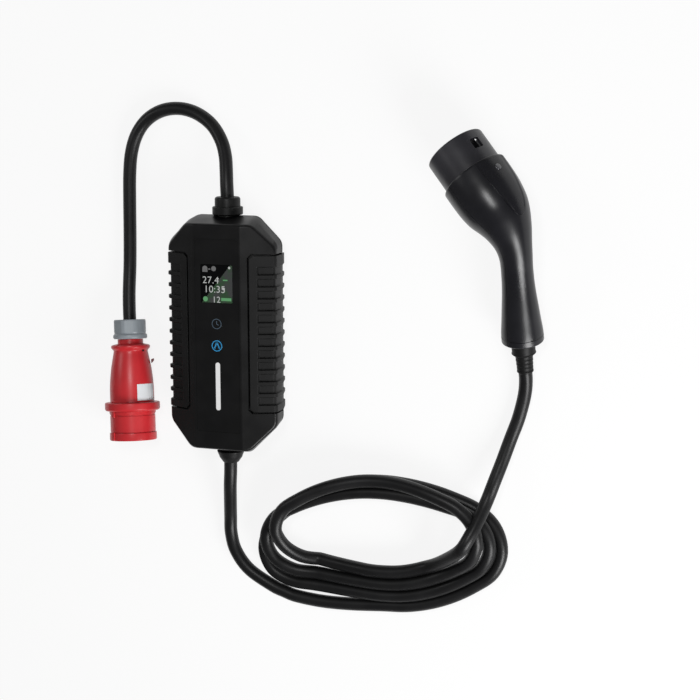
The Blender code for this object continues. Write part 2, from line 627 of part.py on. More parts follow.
def make_plug_contacts(place, carrier_finish, metal):
    """The carrier disc with five pins, the earth pin thicker and longer than the rest."""
    floor = PLUG_BODY_END + FLANGE_LENGTH + GAP
    deck = floor + 0.0045
    disc = [(0, floor), (0.0192, floor), (0.0192, deck - 0.0008), (0.0184, deck), (0, deck)]
    add("plug_pin_carrier", turned(disc, PLUG_SIDES), carrier_finish, place)
    names = ("earth", "l1", "l2", "l3", "n")
    for i, name in enumerate(names):
        angle = pi / 2 - KEYWAY_FROM_TOP + tau * i / len(names)
        radius = EARTH_PIN_RADIUS if name == "earth" else PIN_RADIUS
        tip = PLUG_LENGTH - (0.0030 if name == "earth" else 0.0048)
        start = deck + GAP
        profile = [
            (0, start), (radius, start), (radius, tip - radius * 0.5), (radius * 0.5, tip), (0, tip),
        ]
        spot = Matrix.Translation((PIN_CIRCLE * cos(angle), PIN_CIRCLE * sin(angle), 0))
        add(f"plug_pin_{name}", turned(profile, 12), metal, place @ spot)


def make_plug_latch(place, finish):
    """The small release nub on the right flank of the body."""
    turn = plug_line(place, LATCH_FROM_TOP)
    base = 0.0199
    profile = [
        (base, 0.0398), (base + 0.0027, 0.0390), (base + 0.0027, 0.0410), (base + 0.0014, 0.0428),
        (base, 0.0438),
    ]
    sections = [[(x, y, z) for x, z in profile] for y in (-0.0020, 0.0020)]
    add("plug_release_latch", loft(sections), finish, turn)


# Vehicle connector


def gun_frame():
    """Return the connector's front axis, handle axis, upward direction and bend angle."""
    front = (GUN_FRONT - GUN_BEND).normalized()
    handle = (GUN_END - GUN_BEND).normalized()
    bend = acos(-front.dot(handle))
    up = -(handle - front * handle.dot(front)).normalized()
    return front, handle, up, bend


def gun_place():
    """Return the collar's frame: +Z towards the mouth, +Y up, the origin at the mouth's centre."""
    front, _, up, _ = gun_frame()
    side = up.cross(front)
    turn = Matrix((side, up, front)).transposed().to_4x4()
    return Matrix.Translation(GUN_FRONT) @ turn


def gun_station(distance):
    """Return the centre, the upward normal and the side direction at a place on the centre line."""
    front, handle, up, bend = gun_frame()
    straight = (GUN_FRONT - GUN_BEND).length - GUN_BEND_TANGENT
    radius = GUN_BEND_TANGENT / tan(bend / 2)
    arc = radius * bend
    side = up.cross(front)
    if distance <= straight:
        return GUN_FRONT - front * distance, up, side
    arc_start = GUN_FRONT - front * straight
    if distance <= straight + arc:
        turn = (distance - straight) / radius
        centre = arc_start - up * radius
        normal = up * cos(turn) - front * sin(turn)
        return centre + normal * radius, normal, side
    beyond = distance - straight - arc
    normal = up * cos(bend) - front * sin(bend)
    return GUN_BEND + handle * (GUN_BEND_TANGENT + beyond), normal, side


def gun_length():
    """Return the centre line's length from the collar's mouth to the end of the handle."""
    _, _, _, bend = gun_frame()
    legs = (GUN_FRONT - GUN_BEND).length + (GUN_END - GUN_BEND).length - 2 * GUN_BEND_TANGENT
    return legs + GUN_BEND_TANGENT / tan(bend / 2) * bend


def gun_radius(distance):
    """Return the housing's radius at a place, from its list by smooth interpolation."""
    stops = GUN_RADII
    if distance <= stops[0][0]:
        return stops[0][1]
    for i in range(len(stops) - 1):
        (a, first), (b, second) = stops[i], stops[i + 1]
        if distance <= b:
            before = stops[max(i - 1, 0)]
            after = stops[min(i + 2, len(stops) - 1)]
            slope_a = (second - before[1]) / (b - before[0])
            slope_b = (after[1] - first) / (after[0] - a)
            t = (distance - a) / (b - a)
            span = b - a
            return (
                (2 * t**3 - 3 * t**2 + 1) * first + (t**3 - 2 * t**2 + t) * span * slope_a
                + (-2 * t**3 + 3 * t**2) * second + (t**3 - t**2) * span * slope_b
            )
    return stops[-1][1]


def gun_point(distance, angle, lift=0.0):
    """Return a point on the housing; the angle runs from the upward line towards the side."""
    centre, normal, side = gun_station(distance)
    radius = gun_radius(distance) + lift
    return centre + (normal * cos(angle) + side * sin(angle)) * radius


def make_gun_shells(upper_finish, lower_finish):
    """The upper and lower handle shells, split along the sides of the centre line."""
    length = gun_length()
    last = length - 0.0005
    stations = [SHELL_START, SHELL_START + 0.0008, *SHELL_STATIONS, HOUSING_SEAM_PLACE - 0.0006]
    grooved = {len(stations): 0.0005, len(stations) + 1: 0.0005}
    stations += [HOUSING_SEAM_PLACE - 0.0002, HOUSING_SEAM_PLACE + 0.0006, HOUSING_SEAM_PLACE + 0.0010]
    stations += [last - 0.0010, last]
    steps = 12
    for name, finish, start in (
        ("gun_upper_shell", upper_finish, -pi / 2), ("gun_lower_shell", lower_finish, pi / 2),
    ):
        sections = []
        for i, distance in enumerate(stations):
            edge = 0.0007 if i == 0 else 0.0008 if distance == last else 0.0
            centre, normal, side = gun_station(distance)
            radius = gun_radius(distance) - edge - grooved.get(i, 0.0)
            offset = asin(GAP / 2 / radius)
            section = []
            for k in range(steps + 1):
                angle = start + offset + (pi - 2 * offset) * k / steps
                section.append(centre + (normal * cos(angle) + side * sin(angle)) * radius)
            sections.append(section)
        shell = add(name, loft(sections), finish)
        if name == "gun_upper_shell":
            cut_led_seat(shell)


def cut_led_seat(obj):
    """Sink the seat of the status lens into a shell or a plate."""
    radius = LED_RADIUS + GAP
    seat = turned([(0, -0.0014), (radius, -0.0014), (radius, 0.0060), (0, 0.0060)], LED_SIDES)
    boolean(obj, add(f"{obj.name}_seat", seat, None, led_place(), helper=True))


def led_place():
    """Return the status lens's frame, standing on the upward line behind the collar."""
    centre, normal, side = gun_station(LED_PLACE)
    turn = Matrix((side, normal.cross(side), normal)).transposed().to_4x4()
    return Matrix.Translation(centre + normal * gun_radius(LED_PLACE)) @ turn


def make_gun_emblem(finish):
    """The bare shield plate on top of the head, wide at the collar and pointed at the handle."""
    rows, across = 10, 6
    top, bottom = [], []
    for i in range(rows + 1):
        along = i / rows
        distance = EMBLEM_START + (EMBLEM_END - EMBLEM_START) * along
        half = EMBLEM_HALF_WIDTH * max(1 - along**2.2, 0.0) ** 0.5 + 0.0008
        reach = half / gun_radius(distance)
        angles = [reach * (2 * k / across - 1) for k in range(across + 1)]
        top.append([gun_point(distance, a, 0.0013) for a in angles])
        bottom.append([gun_point(distance, a, 0.0004) for a in angles])
    sections = [upper + lower[::-1] for upper, lower in zip(top, bottom)]
    plate = add("gun_emblem_plate", loft(sections), finish)
    cut_led_seat(plate)
    return plate


def make_gun_lens(finish):
    """The round status lens in its seat."""
    profile = [
        (0, -0.0011), (LED_RADIUS, -0.0011), (LED_RADIUS, 0.0015), (LED_RADIUS * 0.8, 0.0019), (0, 0.0021),
    ]
    add("gun_status_lens", turned(profile, LED_SIDES), finish, led_place())


def make_gun_collar(place, finish):
    """The round collar round the contacts, with the lock hole through its top wall."""
    end = -COLLAR_LENGTH
    profile = [
        (0, end), (COLLAR_RADIUS, end), (COLLAR_RADIUS, -0.0014), (COLLAR_RADIUS - 0.0003, -0.0005),
        (COLLAR_RADIUS - 0.0012, 0.0), (COLLAR_BORE + 0.0004, 0.0), (COLLAR_BORE, -0.0004),
        (COLLAR_BORE, end + 0.0035), (0, end + 0.0035),
    ]
    collar = add("gun_collar", turned(profile, 36), finish, place)
    hole = block(
        (-LOCK_HALF_WIDTH, COLLAR_BORE - 0.004, -LOCK_PLACE - LOCK_HALF_LENGTH),
        (LOCK_HALF_WIDTH, COLLAR_RADIUS + 0.004, -LOCK_PLACE + LOCK_HALF_LENGTH),
    )
    boolean(collar, add("lock_hole", hole, None, place, helper=True))
    return collar


def make_gun_contacts(place, carrier_finish, metal):
    """The flat-topped insulating block with seven sockets, each lined with a contact."""
    base = -COLLAR_LENGTH + 0.0035 + GAP
    face = -0.0030
    limit = asin(CARRIER_FLAT / CARRIER_RADIUS)
    steps = 28
    sweep = pi + 2 * limit
    outline = []
    for k in range(steps + 1):
        angle = limit - sweep * k / steps
        outline.append((CARRIER_RADIUS * cos(angle), CARRIER_RADIUS * sin(angle)))
    carrier = add("gun_contact_carrier", prism(outline, base, face), carrier_finish, place)
    for name, (x, y, radius) in CONTACTS.items():
        spot = place @ Matrix.Translation((x, y, 0))
        depth = face - 0.0170
        hole = prism(circle(radius, CONTACT_SIDES), depth, 0.001)
        boolean(carrier, add(f"socket_{name}", hole, None, spot, helper=True))
        outer = radius - GAP
        inner = outer - 0.0008
        floor = depth + GAP
        profile = [
            (0, floor), (outer, floor), (outer, face - 0.0022), (inner, face - 0.0022),
            (inner, floor + 0.0015), (0, floor + 0.0015),
        ]
        add(f"gun_contact_{name}", turned(profile, CONTACT_SIDES), metal, spot)


def make_gun_relief(finish):
    """The stepped strain relief: a broad root and a ribbed tail."""
    _, handle, _, _ = gun_frame()
    _, normal, side = gun_station(gun_length())
    turn = Matrix((side, handle.cross(side), handle)).transposed().to_4x4()
    place = Matrix.Translation(GUN_END) @ turn
    profile = [
        (0, GAP), (0.0124, GAP), (0.0124, 0.0014), (0.0110, 0.0020), (0.0108, 0.0098),
        (0.0113, 0.0114), (0.0086, 0.0119),
    ]
    for i in range(RELIEF_RIBS):
        start = RELIEF_RIB_START + i * RELIEF_RIB_PITCH
        ridge = 0.0082 - 0.0002 * i
        valley = ridge - 0.0006
        profile += [
            (ridge, start), (ridge, start + 0.0026), (valley, start + 0.0030), (valley, start + 0.0034),
        ]
    tip = RELIEF_LENGTH
    profile += [(0.0077, tip - 0.0016), (0.0077, tip - 0.0006), (0.0071, tip), (0, tip)]
    add("gun_strain_relief", turned(profile, 16), finish, place)


# Cords


def smooth_route(points, spacing):
    """Read points from the smooth curve through a route's own points, evenly but for the two ends."""
    knots = [Vector(p) for p in points]
    knots = [knots[0] * 2 - knots[1]] + knots + [knots[-1] * 2 - knots[-2]]
    fine = [knots[1]]
    for before, a, b, after in zip(knots, knots[1:], knots[2:], knots[3:]):
        for k in range(1, SPLINE_STEPS + 1):
            t = k / SPLINE_STEPS
            bend = 2 * before - 5 * a + 4 * b - after
            twist = 3 * a - before - 3 * b + after
            fine.append(0.5 * (2 * a + (b - before) * t + bend * t**2 + twist * t**3))
    reached = [0.0]
    for a, b in zip(fine, fine[1:]):
        reached.append(reached[-1] + (b - a).length)
    length = reached[-1]
    count = round(length / spacing)
    middle = [length * i / count for i in range(1, count)]
    wanted = [0.0, CORD_END] + middle + [length - CORD_END, length]
    read, j = [], 0
    for want in wanted:
        while j < len(fine) - 2 and reached[j + 1] < want:
            j += 1
        share = (want - reached[j]) / (reached[j + 1] - reached[j])
        read.append(fine[j].lerp(fine[j + 1], min(share, 1.0)))
    return read


def make_tube(name, route, finish):
    """A free stretch of cord along its route."""
    points = smooth_route(route, CORD_SPACING)
    curve = bpy.data.curves.new(name, "CURVE")
    curve.dimensions = "3D"
    curve.bevel_depth = CORD_RADIUS
    curve.bevel_resolution = 3
    curve.use_fill_caps = True
    spline = curve.splines.new("POLY")
    spline.points.add(len(points) - 1)
    for target, point in zip(spline.points, points):
        target.co = (*point, 1.0)
    curve.materials.append(finish)
    obj = bpy.data.objects.new(name, curve)
    bpy.context.scene.collection.objects.link(obj)
    return obj


def coil_edge(centre, semi, angle):
    """Return a point on the coil's squarish oval edge."""
    power = 2 / COIL_SQUARENESS
    x, y = cos(angle), sin(angle)
    return Vector((
        centre[0] + semi[0] * abs(x) ** power * (1 if x >= 0 else -1),
        centre[1] + semi[1] * abs(y) ** power * (1 if y >= 0 else -1),
        0.0,
    ))


def coil_height(angle):
    """Return the bundle's height: one layer at the front and right, two behind and at the left."""
    degrees = angle * 180 / pi
    rise = min(max((degrees - 60) / 25, 0.0), 1.0)
    fall = min(max((235 - degrees) / 35, 0.0), 1.0)
    share = min(rise, fall)
    return COIL_LOW + (COIL_HIGH - COIL_LOW) * share * share * (3 - 2 * share)


def make_coil(finish):
    """The wound cord as one closed oval ring of the bundle's outer shape."""
    stations = 42
    sections = []
    edge = 0.0028
    for i in range(stations):
        angle = tau * i / stations
        inner = coil_edge(COIL_INNER_CENTRE, COIL_INNER, angle)
        outer = coil_edge(COIL_OUTER_CENTRE, COIL_OUTER, angle)
        out = (outer - inner).normalized()
        high = coil_height(angle)
        low = 0.0002
        section = [
            inner + out * edge + Vector((0, 0, low)), outer - out * edge + Vector((0, 0, low)),
            outer + Vector((0, 0, low + edge)), outer + Vector((0, 0, high - edge)),
            outer - out * edge + Vector((0, 0, high)), inner + out * edge + Vector((0, 0, high)),
            inner + Vector((0, 0, high - edge)), inner + Vector((0, 0, low + edge)),
        ]
        sections.append(section)
    add("output_cord_coil", loft(sections, ring=True), finish)


def main():
    """Build every piece of the charger."""
    clear_scene()
    shell = material("black_shell", (0.012, 0.012, 0.013), 0.45)
    rubber = material("black_rubber", (0.010, 0.010, 0.010), 0.65)
    gloss = material("panel_film", (0.008, 0.008, 0.009), 0.25)
    seal = material("grey_seal", (0.05, 0.05, 0.05), 0.8)
    glass = material("display_glass", (0.02, 0.02, 0.025), 0.08)
    screen = material("display_module", (0.03, 0.05, 0.06), 0.3)
    blue = material("key_blue", (0.03, 0.25, 0.50), 0.3)
    white = material("light_white", (0.85, 0.85, 0.85), 0.3)
    steel = material("screw_steel", (0.45, 0.45, 0.46), 0.35, 1.0)
    board = material("board_green", (0.02, 0.15, 0.06), 0.5)
    relay = material("relay_black", (0.02, 0.02, 0.025), 0.5)
    copper = material("winding_copper", (0.55, 0.25, 0.12), 0.4, 1.0)
    ferrite = material("ferrite_grey", (0.08, 0.08, 0.08), 0.6)
    terminal = material("terminal_grey", (0.35, 0.37, 0.38), 0.5)
    red = material("plug_red", (0.60, 0.045, 0.055), 0.35)
    dark_red = material("plug_dark_red", (0.30, 0.02, 0.03), 0.4)
    grey = material("nut_grey", (0.32, 0.36, 0.39), 0.45)
    nickel = material("contact_nickel", (0.60, 0.58, 0.52), 0.3, 1.0)
    handle = material("gun_gloss_black", (0.012, 0.012, 0.014), 0.3)
    collar = material("gun_collar_grey", (0.030, 0.030, 0.034), 0.45)
    lens = material("status_lens", (0.10, 0.10, 0.11), 0.1)
    cord = material("cord_black", (0.010, 0.010, 0.011), 0.5)

    make_front_housing(shell)
    make_rear_housing(shell)
    for side in (-1, 1):
        make_gasket(side, seal)
        make_grip(side, rubber)
    make_panel(gloss)
    make_indicators(glass, screen, blue, white)
    make_electronics(board, relay, copper, ferrite, terminal)
    make_housing_screws(steel)
    make_glands(shell, grey)

    plug = plug_place()
    make_plug_nut(plug, grey)
    make_plug_body(plug, red, rubber)
    make_plug_sleeve(plug, red)
    make_plug_contacts(plug, dark_red, nickel)
    make_plug_latch(plug, dark_red)

    gun = gun_place()
    make_gun_collar(gun, collar)
    make_gun_contacts(gun, handle, nickel)
    make_gun_shells(handle, handle)
    make_gun_emblem(handle)
    make_gun_lens(lens)
    make_gun_relief(rubber)

    make_tube("input_cord", INPUT_ROUTE, cord)
    make_tube("output_cord_lead", LEAD_ROUTE, cord)
    make_tube("output_cord_riser", RISER_ROUTE, cord)
    make_coil(cord)


main()
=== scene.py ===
"""Looks of the portable electric vehicle charger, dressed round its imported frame.

Metres, +Z up, the same frame as the solids: the control box lies on its flat back at the origin, the
plug lies left of it, and the output cord's coil and the vehicle connector lie right of it.
"""

import logging
from collections.abc import Sequence
from dataclasses import dataclass
from enum import Enum
from math import acos, asin, atan2, copysign, cos, pi, radians, sin, sqrt, tan, tau

import bmesh
import bpy
from bmesh.types import BMEdge, BMesh
from bpy.types import Material, NodeSocket, Object, ShaderNode
from mathutils import Matrix, Vector


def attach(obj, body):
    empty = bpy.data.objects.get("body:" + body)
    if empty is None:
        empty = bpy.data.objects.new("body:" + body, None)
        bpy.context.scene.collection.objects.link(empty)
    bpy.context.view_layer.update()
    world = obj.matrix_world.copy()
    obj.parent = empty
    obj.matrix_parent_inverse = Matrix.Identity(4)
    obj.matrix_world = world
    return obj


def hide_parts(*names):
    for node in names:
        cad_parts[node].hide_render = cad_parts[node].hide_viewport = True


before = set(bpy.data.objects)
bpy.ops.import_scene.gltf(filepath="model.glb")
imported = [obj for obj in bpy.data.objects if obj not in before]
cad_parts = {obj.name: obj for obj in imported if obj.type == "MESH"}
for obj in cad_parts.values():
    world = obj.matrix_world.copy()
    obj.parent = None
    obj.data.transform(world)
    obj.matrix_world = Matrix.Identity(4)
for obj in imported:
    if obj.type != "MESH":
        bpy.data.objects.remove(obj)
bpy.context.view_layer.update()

log = logging.getLogger("charger")

Colour = tuple[float, float, float]
Profile = Sequence[tuple[float, float]]

BODY = "root"
GAP = 0.0003
ROUND_STEPS = 96
SMALL_STEPS = 48
MERGE = 1e-6
FIGURE_SHARE = 0.73
FIGURE_SPACING = 1.06
FIGURE_RISE = 0.00003


# Finishes


class Relief(Enum):
    """The fine pattern that a mould or a tool leaves in a surface."""

    SMOOTH = "smooth"
    SPARKED = "sparked"
    LEATHER = "leather"
    DRAWN = "drawn"


class NodeBench:
    """Adds shader nodes to a material and links them."""

    def __init__(self, name: str) -> None:
        """Start a material with a Principled shader."""
        self.material = bpy.data.materials.new(name)
        self.material.use_nodes = True
        self.tree = self.material.node_tree
        self.shader = self.tree.nodes["Principled BSDF"]

    def add(self, kind: str, **settings: object) -> ShaderNode:
        """Add a node.

        Args:
            kind: The node's type name.
            settings: Attributes of the node, or default values of its inputs.

        Returns:
            The new node.
        """
        node = self.tree.nodes.new(kind)
        for key, value in settings.items():
            if hasattr(node, key):
                setattr(node, key, value)
            else:
                node.inputs[key.replace("_", " ")].default_value = value
        return node

    def link(self, source: NodeSocket, target: NodeSocket) -> None:
        """Link an output to an input."""
        self.tree.links.new(source, target)

    def place(self) -> NodeSocket:
        """Return the piece's own coordinates, which are the frame's, in metres."""
        return self.add("ShaderNodeTexCoord").outputs["Object"]

    def noise(self, place: NodeSocket, size: float, detail: float = 3.0) -> NodeSocket:
        """Return a noise whose features are about that size.

        Args:
            place: The coordinates that it reads.
            size: The size of a feature in metres.
            detail: The number of finer layers.

        Returns:
            The noise's value, from 0 to 1.
        """
        node = self.add("ShaderNodeTexNoise", Scale=1.0 / size, Detail=detail)
        self.link(place, node.inputs["Vector"])
        return node.outputs[0]

    def ramp(self, value: NodeSocket, stops: Sequence[tuple[float, Colour]]) -> NodeSocket:
        """Return colours spread over a value.

        Args:
            value: The value, from 0 to 1.
            stops: Places along the value, each with its colour.

        Returns:
            The colour.
        """
        node = self.add("ShaderNodeValToRGB")
        elements = node.color_ramp.elements
        while len(elements) < len(stops):
            elements.new(0.5)
        for element, (where, colour) in zip(elements, stops):
            element.position = where
            element.color = (*colour, 1.0)
        self.link(value, node.inputs[0])
        return node.outputs[0]

    def spread(self, value: NodeSocket, low: float, high: float) -> NodeSocket:
        """Return a noise's middle range stretched between two values."""
        node = self.add("ShaderNodeMapRange")
        for index, number in ((1, 0.3), (2, 0.7), (3, low), (4, high)):
            node.inputs[index].default_value = number
        self.link(value, node.inputs[0])
        return node.outputs[0]

    def bump(self, height: NodeSocket, depth: float, normal: NodeSocket | None = None) -> NodeSocket:
        """Return a normal bent by a height.

        Args:
            height: The height, from 0 to 1.
            depth: The real depth of the relief in metres.
            normal: A normal that is bent already, if there is one.

        Returns:
            The bent normal.
        """
        node = self.add("ShaderNodeBump", Strength=1.0, Distance=depth)
        self.link(height, node.inputs["Height"])
        if normal is not None:
            self.link(normal, node.inputs["Normal"])
        return node.outputs[0]

    def math(self, operation: str, first: NodeSocket, second: NodeSocket | float) -> NodeSocket:
        """Return the result of a sum on two values."""
        node = self.add("ShaderNodeMath", operation=operation)
        self.link(first, node.inputs[0])
        if isinstance(second, float):
            node.inputs[1].default_value = second
        else:
            self.link(second, node.inputs[1])
        return node.outputs[0]


@dataclass(frozen=True)
class Finish:
    """A moulded, turned or drawn surface: its colour, gloss, unevenness and fine relief."""

    name: str
    colour: Colour
    roughness: float
    relief: Relief = Relief.SPARKED
    grain: float = 0.0004
    depth: float = 0.00002
    metallic: float = 0.0
    specular: float = 0.5
    coat: float = 0.0
    coat_roughness: float = 0.06
    mottle: float = 0.12
    cloud: float = 0.02

    def make(self) -> Material:
        """Return the finish's material, made once."""
        known = bpy.data.materials.get(self.name)
        if known is not None:
            return known
        bench = NodeBench(self.name)
        shader = bench.shader
        shader.inputs["Metallic"].default_value = self.metallic
        shader.inputs["Specular IOR Level"].default_value = self.specular
        shader.inputs["Coat Weight"].default_value = self.coat
        shader.inputs["Coat Roughness"].default_value = self.coat_roughness
        place = bench.place()
        cloud = bench.noise(place, self.cloud)
        bench.link(self.shade(bench, cloud), shader.inputs["Base Color"])
        low, high = self.roughness * 0.9, min(self.roughness * 1.1, 1.0)
        bench.link(bench.spread(cloud, low, high), shader.inputs["Roughness"])
        normal = self.normal(bench, place)
        if normal is not None:
            bench.link(normal, shader.inputs["Normal"])
        return bench.material

    def shade(self, bench: NodeBench, cloud: NodeSocket) -> NodeSocket:
        """Return the surface's colour, lighter and darker by its mottle."""
        dark = tuple(c * (1 - self.mottle) for c in self.colour)
        light = tuple(c * (1 + self.mottle) for c in self.colour)
        return bench.ramp(cloud, [(0.35, dark), (0.65, light)])

    def normal(self, bench: NodeBench, place: NodeSocket) -> NodeSocket | None:
        """Return the relief's normal, or nothing on a smooth surface."""
        if self.relief is Relief.SMOOTH:
            return None
        if self.relief is Relief.LEATHER:
            return bench.bump(leather_cells(bench, place, self.grain), self.depth)
        if self.relief is Relief.DRAWN:
            stretch = bench.add("ShaderNodeMapping")
            stretch.inputs["Scale"].default_value = (1.0, 1.0, 0.08)
            bench.link(place, stretch.inputs["Vector"])
            return bench.bump(bench.noise(stretch.outputs[0], self.grain), self.depth)
        return bench.bump(bench.noise(place, self.grain), self.depth)


def leather_cells(bench: NodeBench, place: NodeSocket, size: float) -> NodeSocket:
    """Return the height of rounded cells with creases between them."""
    cells = bench.add("ShaderNodeTexVoronoi", feature="DISTANCE_TO_EDGE", Scale=1.0 / size)
    bench.link(place, cells.inputs["Vector"])
    return bench.math("MINIMUM", cells.outputs[0], 0.25)


@dataclass(frozen=True)
class GripFinish(Finish):
    """The connector's gloss black: smooth on the head, leather grained where the hand holds it."""

    grain_starts: float = 0.095
    grain_full: float = 0.078
    fine_grain: float = 0.0005
    fine_depth: float = 0.000004

    def normal(self, bench: NodeBench, place: NodeSocket) -> NodeSocket | None:
        """Return the leather cells, faded in from the head towards the handle."""
        split = bench.add("ShaderNodeSeparateXYZ")
        bench.link(place, split.inputs[0])
        fade = bench.add("ShaderNodeMapRange", interpolation_type="SMOOTHSTEP")
        for index, number in ((1, self.grain_starts), (2, self.grain_full), (3, 0.0), (4, 1.0)):
            fade.inputs[index].default_value = number
        bench.link(split.outputs["Y"], fade.inputs[0])
        cells = leather_cells(bench, place, self.grain)
        height = bench.math("MULTIPLY", cells, fade.outputs[0])
        fine = bench.bump(bench.noise(place, self.fine_grain), self.fine_depth)
        return bench.bump(height, self.depth, fine)


@dataclass(frozen=True)
class Glow:
    """A lit mark, lens or bar."""

    name: str
    colour: Colour
    strength: float
    unlit: Colour = (0.05, 0.05, 0.05)
    roughness: float = 0.35
    specular: float = 0.2
    cloud: float = 0.004
    dimming: float = 0.94

    def make(self) -> Material:
        """Return the lit material, made once."""
        known = bpy.data.materials.get(self.name)
        if known is not None:
            return known
        bench = NodeBench(self.name)
        shader = bench.shader
        shader.inputs["Base Color"].default_value = (*self.unlit, 1.0)
        shader.inputs["Roughness"].default_value = self.roughness
        shader.inputs["Specular IOR Level"].default_value = self.specular
        cloud = bench.noise(bench.place(), self.cloud)
        dim = tuple(c * self.dimming for c in self.colour)
        bench.link(bench.ramp(cloud, [(0.3, dim), (0.7, self.colour)]), shader.inputs["Emission Color"])
        shader.inputs["Emission Strength"].default_value = self.strength
        return bench.material


@dataclass(frozen=True)
class ScreenFinish:
    """The display's glass: black above a diagonal, and below it a painted reflection in grey with green
    patches.
    """

    name: str
    black: Colour = (0.0015, 0.0015, 0.0018)
    # Colours of the painted reflection below the diagonal: grey with green patches.
    sheen_grey: Colour = (0.050, 0.052, 0.052)
    green: Colour = (0.030, 0.066, 0.032)
    corner: tuple[float, float] = (0.0149, 0.0712)
    foot: tuple[float, float] = (-0.0159, 0.0327)
    edge_blur: float = 0.0002
    patch_size: float = 0.011
    roughness: float = 0.12
    specular: float = 0.15

    def make(self) -> Material:
        """Return the screen's material, made once."""
        known = bpy.data.materials.get(self.name)
        if known is not None:
            return known
        bench = NodeBench(self.name)
        shader = bench.shader
        shader.inputs["Roughness"].default_value = self.roughness
        shader.inputs["Specular IOR Level"].default_value = self.specular
        place = bench.place()
        split = bench.add("ShaderNodeSeparateXYZ")
        bench.link(place, split.inputs[0])
        # The diagonal parts the black glass from the painted reflection below it.
        slope = (self.corner[1] - self.foot[1]) / (self.corner[0] - self.foot[0])
        below = bench.math("MULTIPLY", split.outputs["X"], slope)
        level = bench.math("SUBTRACT", below, split.outputs["Y"])
        edge = bench.add("ShaderNodeMapRange")
        base = slope * self.foot[0] - self.foot[1]
        blur = self.edge_blur
        for index, number in ((1, base - blur), (2, base + blur), (3, 0.0), (4, 1.0)):
            edge.inputs[index].default_value = number
        bench.link(level, edge.inputs[0])
        # Below the diagonal, noise mixes grey and green patches into a painted reflection on the glass.
        cloud = bench.noise(place, self.patch_size)
        painted_sheen = bench.ramp(cloud, [(0.42, self.sheen_grey), (0.62, self.green)])
        mix = bench.add("ShaderNodeMix", data_type="RGBA")
        bench.link(edge.outputs[0], mix.inputs[0])
        mix.inputs[6].default_value = (*self.black, 1.0)
        bench.link(painted_sheen, mix.inputs[7])
        bench.link(mix.outputs[2], shader.inputs["Base Color"])
        return bench.material


SHELL = Finish(
    "shell_satin_black", (0.0050, 0.0050, 0.0052), 0.36, grain=0.0005, depth=0.000012, specular=0.24
)
RUBBER = Finish("grip_rubber", (0.0055, 0.0055, 0.0056), 0.50, grain=0.0006, depth=0.00002, specular=0.20)
FILM = Finish(
    "panel_film_black", (0.0062, 0.0062, 0.0064), 0.30, grain=0.0009, depth=0.000004, specular=0.20
)
GLAND = Finish("gland_black", (0.0055, 0.0055, 0.0056), 0.45, grain=0.0005, depth=0.00001, specular=0.25)
SEAL = Finish("gasket_grey", (0.02, 0.02, 0.02), 0.8)
STEEL = Finish("zinc_screw", (0.45, 0.45, 0.46), 0.35, relief=Relief.DRAWN, metallic=1.0)
BOARD = Finish("board_lacquer", (0.02, 0.15, 0.06), 0.45, grain=0.002, depth=0.00003)
RELAY = Finish("relay_case", (0.02, 0.02, 0.025), 0.5)
COPPER = Finish("copper_winding", (0.55, 0.25, 0.12), 0.4, relief=Relief.DRAWN, metallic=1.0)
FERRITE = Finish("ferrite_core", (0.08, 0.08, 0.08), 0.6, grain=0.0008)
TERMINAL = Finish("terminal_nylon", (0.35, 0.37, 0.38), 0.5)
RED = Finish(
    "plug_red_nylon", (0.520, 0.022, 0.028), 0.34, grain=0.0007, depth=0.000008, specular=0.40, mottle=0.06
)
DARK_RED = Finish("plug_dark_red_nylon", (0.160, 0.008, 0.012), 0.45, grain=0.0007, depth=0.00001)
NUT = Finish("nut_grey_nylon", (0.235, 0.262, 0.285), 0.42, grain=0.0007, depth=0.00002, mottle=0.06)
PAPER = Finish("blank_label", (0.70, 0.72, 0.74), 0.55, grain=0.0010, depth=0.000004, mottle=0.03)
NICKEL = Finish("nickel_contact", (0.60, 0.58, 0.52), 0.25, relief=Relief.DRAWN, metallic=1.0)
HEAD = GripFinish(
    "connector_gloss_black", (0.0060, 0.0060, 0.0082), 0.30, grain=0.0014, depth=0.00010, specular=0.42
)
PLATE = Finish(
    "shield_plate_black", (0.0062, 0.0062, 0.0085), 0.28, grain=0.0006, depth=0.000004, specular=0.42
)
COLLAR = Finish(
    "collar_graphite", (0.0190, 0.0185, 0.0230), 0.36, grain=0.0005, depth=0.000010, specular=0.50
)
LENS = Finish("status_lens_smoke", (0.050, 0.050, 0.056), 0.12, relief=Relief.SMOOTH, coat=0.6)
CARRIER = Finish("contact_block_black", (0.008, 0.008, 0.009), 0.40)
JACKET = Finish("cord_jacket", (0.0058, 0.0058, 0.0062), 0.40, grain=0.0011, depth=0.00003, specular=0.28)
SCREEN = ScreenFinish("display_screen")
DIGITS = Glow("display_white", (0.62, 0.64, 0.62), 0.62)
ICONS = Glow("display_grey", (0.22, 0.22, 0.22), 0.40)
GREEN = Glow("display_green", (0.12, 0.50, 0.17), 0.50)
KEY_CYAN = Glow("key_dim_blue", (0.034, 0.080, 0.130), 0.60)
KEY_BLUE = Glow("key_blue", (0.045, 0.165, 0.280), 0.75)
BAR = Glow("status_white", (0.86, 0.86, 0.86), 0.72, unlit=(0.12, 0.12, 0.12))


# Mesh making


def turned(profile: Profile, steps: int = ROUND_STEPS, closed: bool = False) -> BMesh:
    """Spin a profile about Z.

    Args:
        profile: Points of radius and height.
        steps: The number of steps round the axis.
        closed: Whether the last point joins the first, which leaves a bore.

    Returns:
        The turned shape.
    """
    bm = bmesh.new()
    verts = [bm.verts.new((radius, 0.0, height)) for radius, height in profile]
    pairs = list(zip(verts, verts[1:]))
    if closed:
        pairs.append((verts[-1], verts[0]))
    edges = [bm.edges.new(pair) for pair in pairs]
    bmesh.ops.spin(
        bm, geom=verts + edges, cent=(0, 0, 0), axis=(0, 0, 1), angle=tau, steps=steps, use_merge=True
    )
    bmesh.ops.remove_doubles(bm, verts=bm.verts, dist=MERGE)
    bmesh.ops.recalc_face_normals(bm, faces=bm.faces)
    return bm


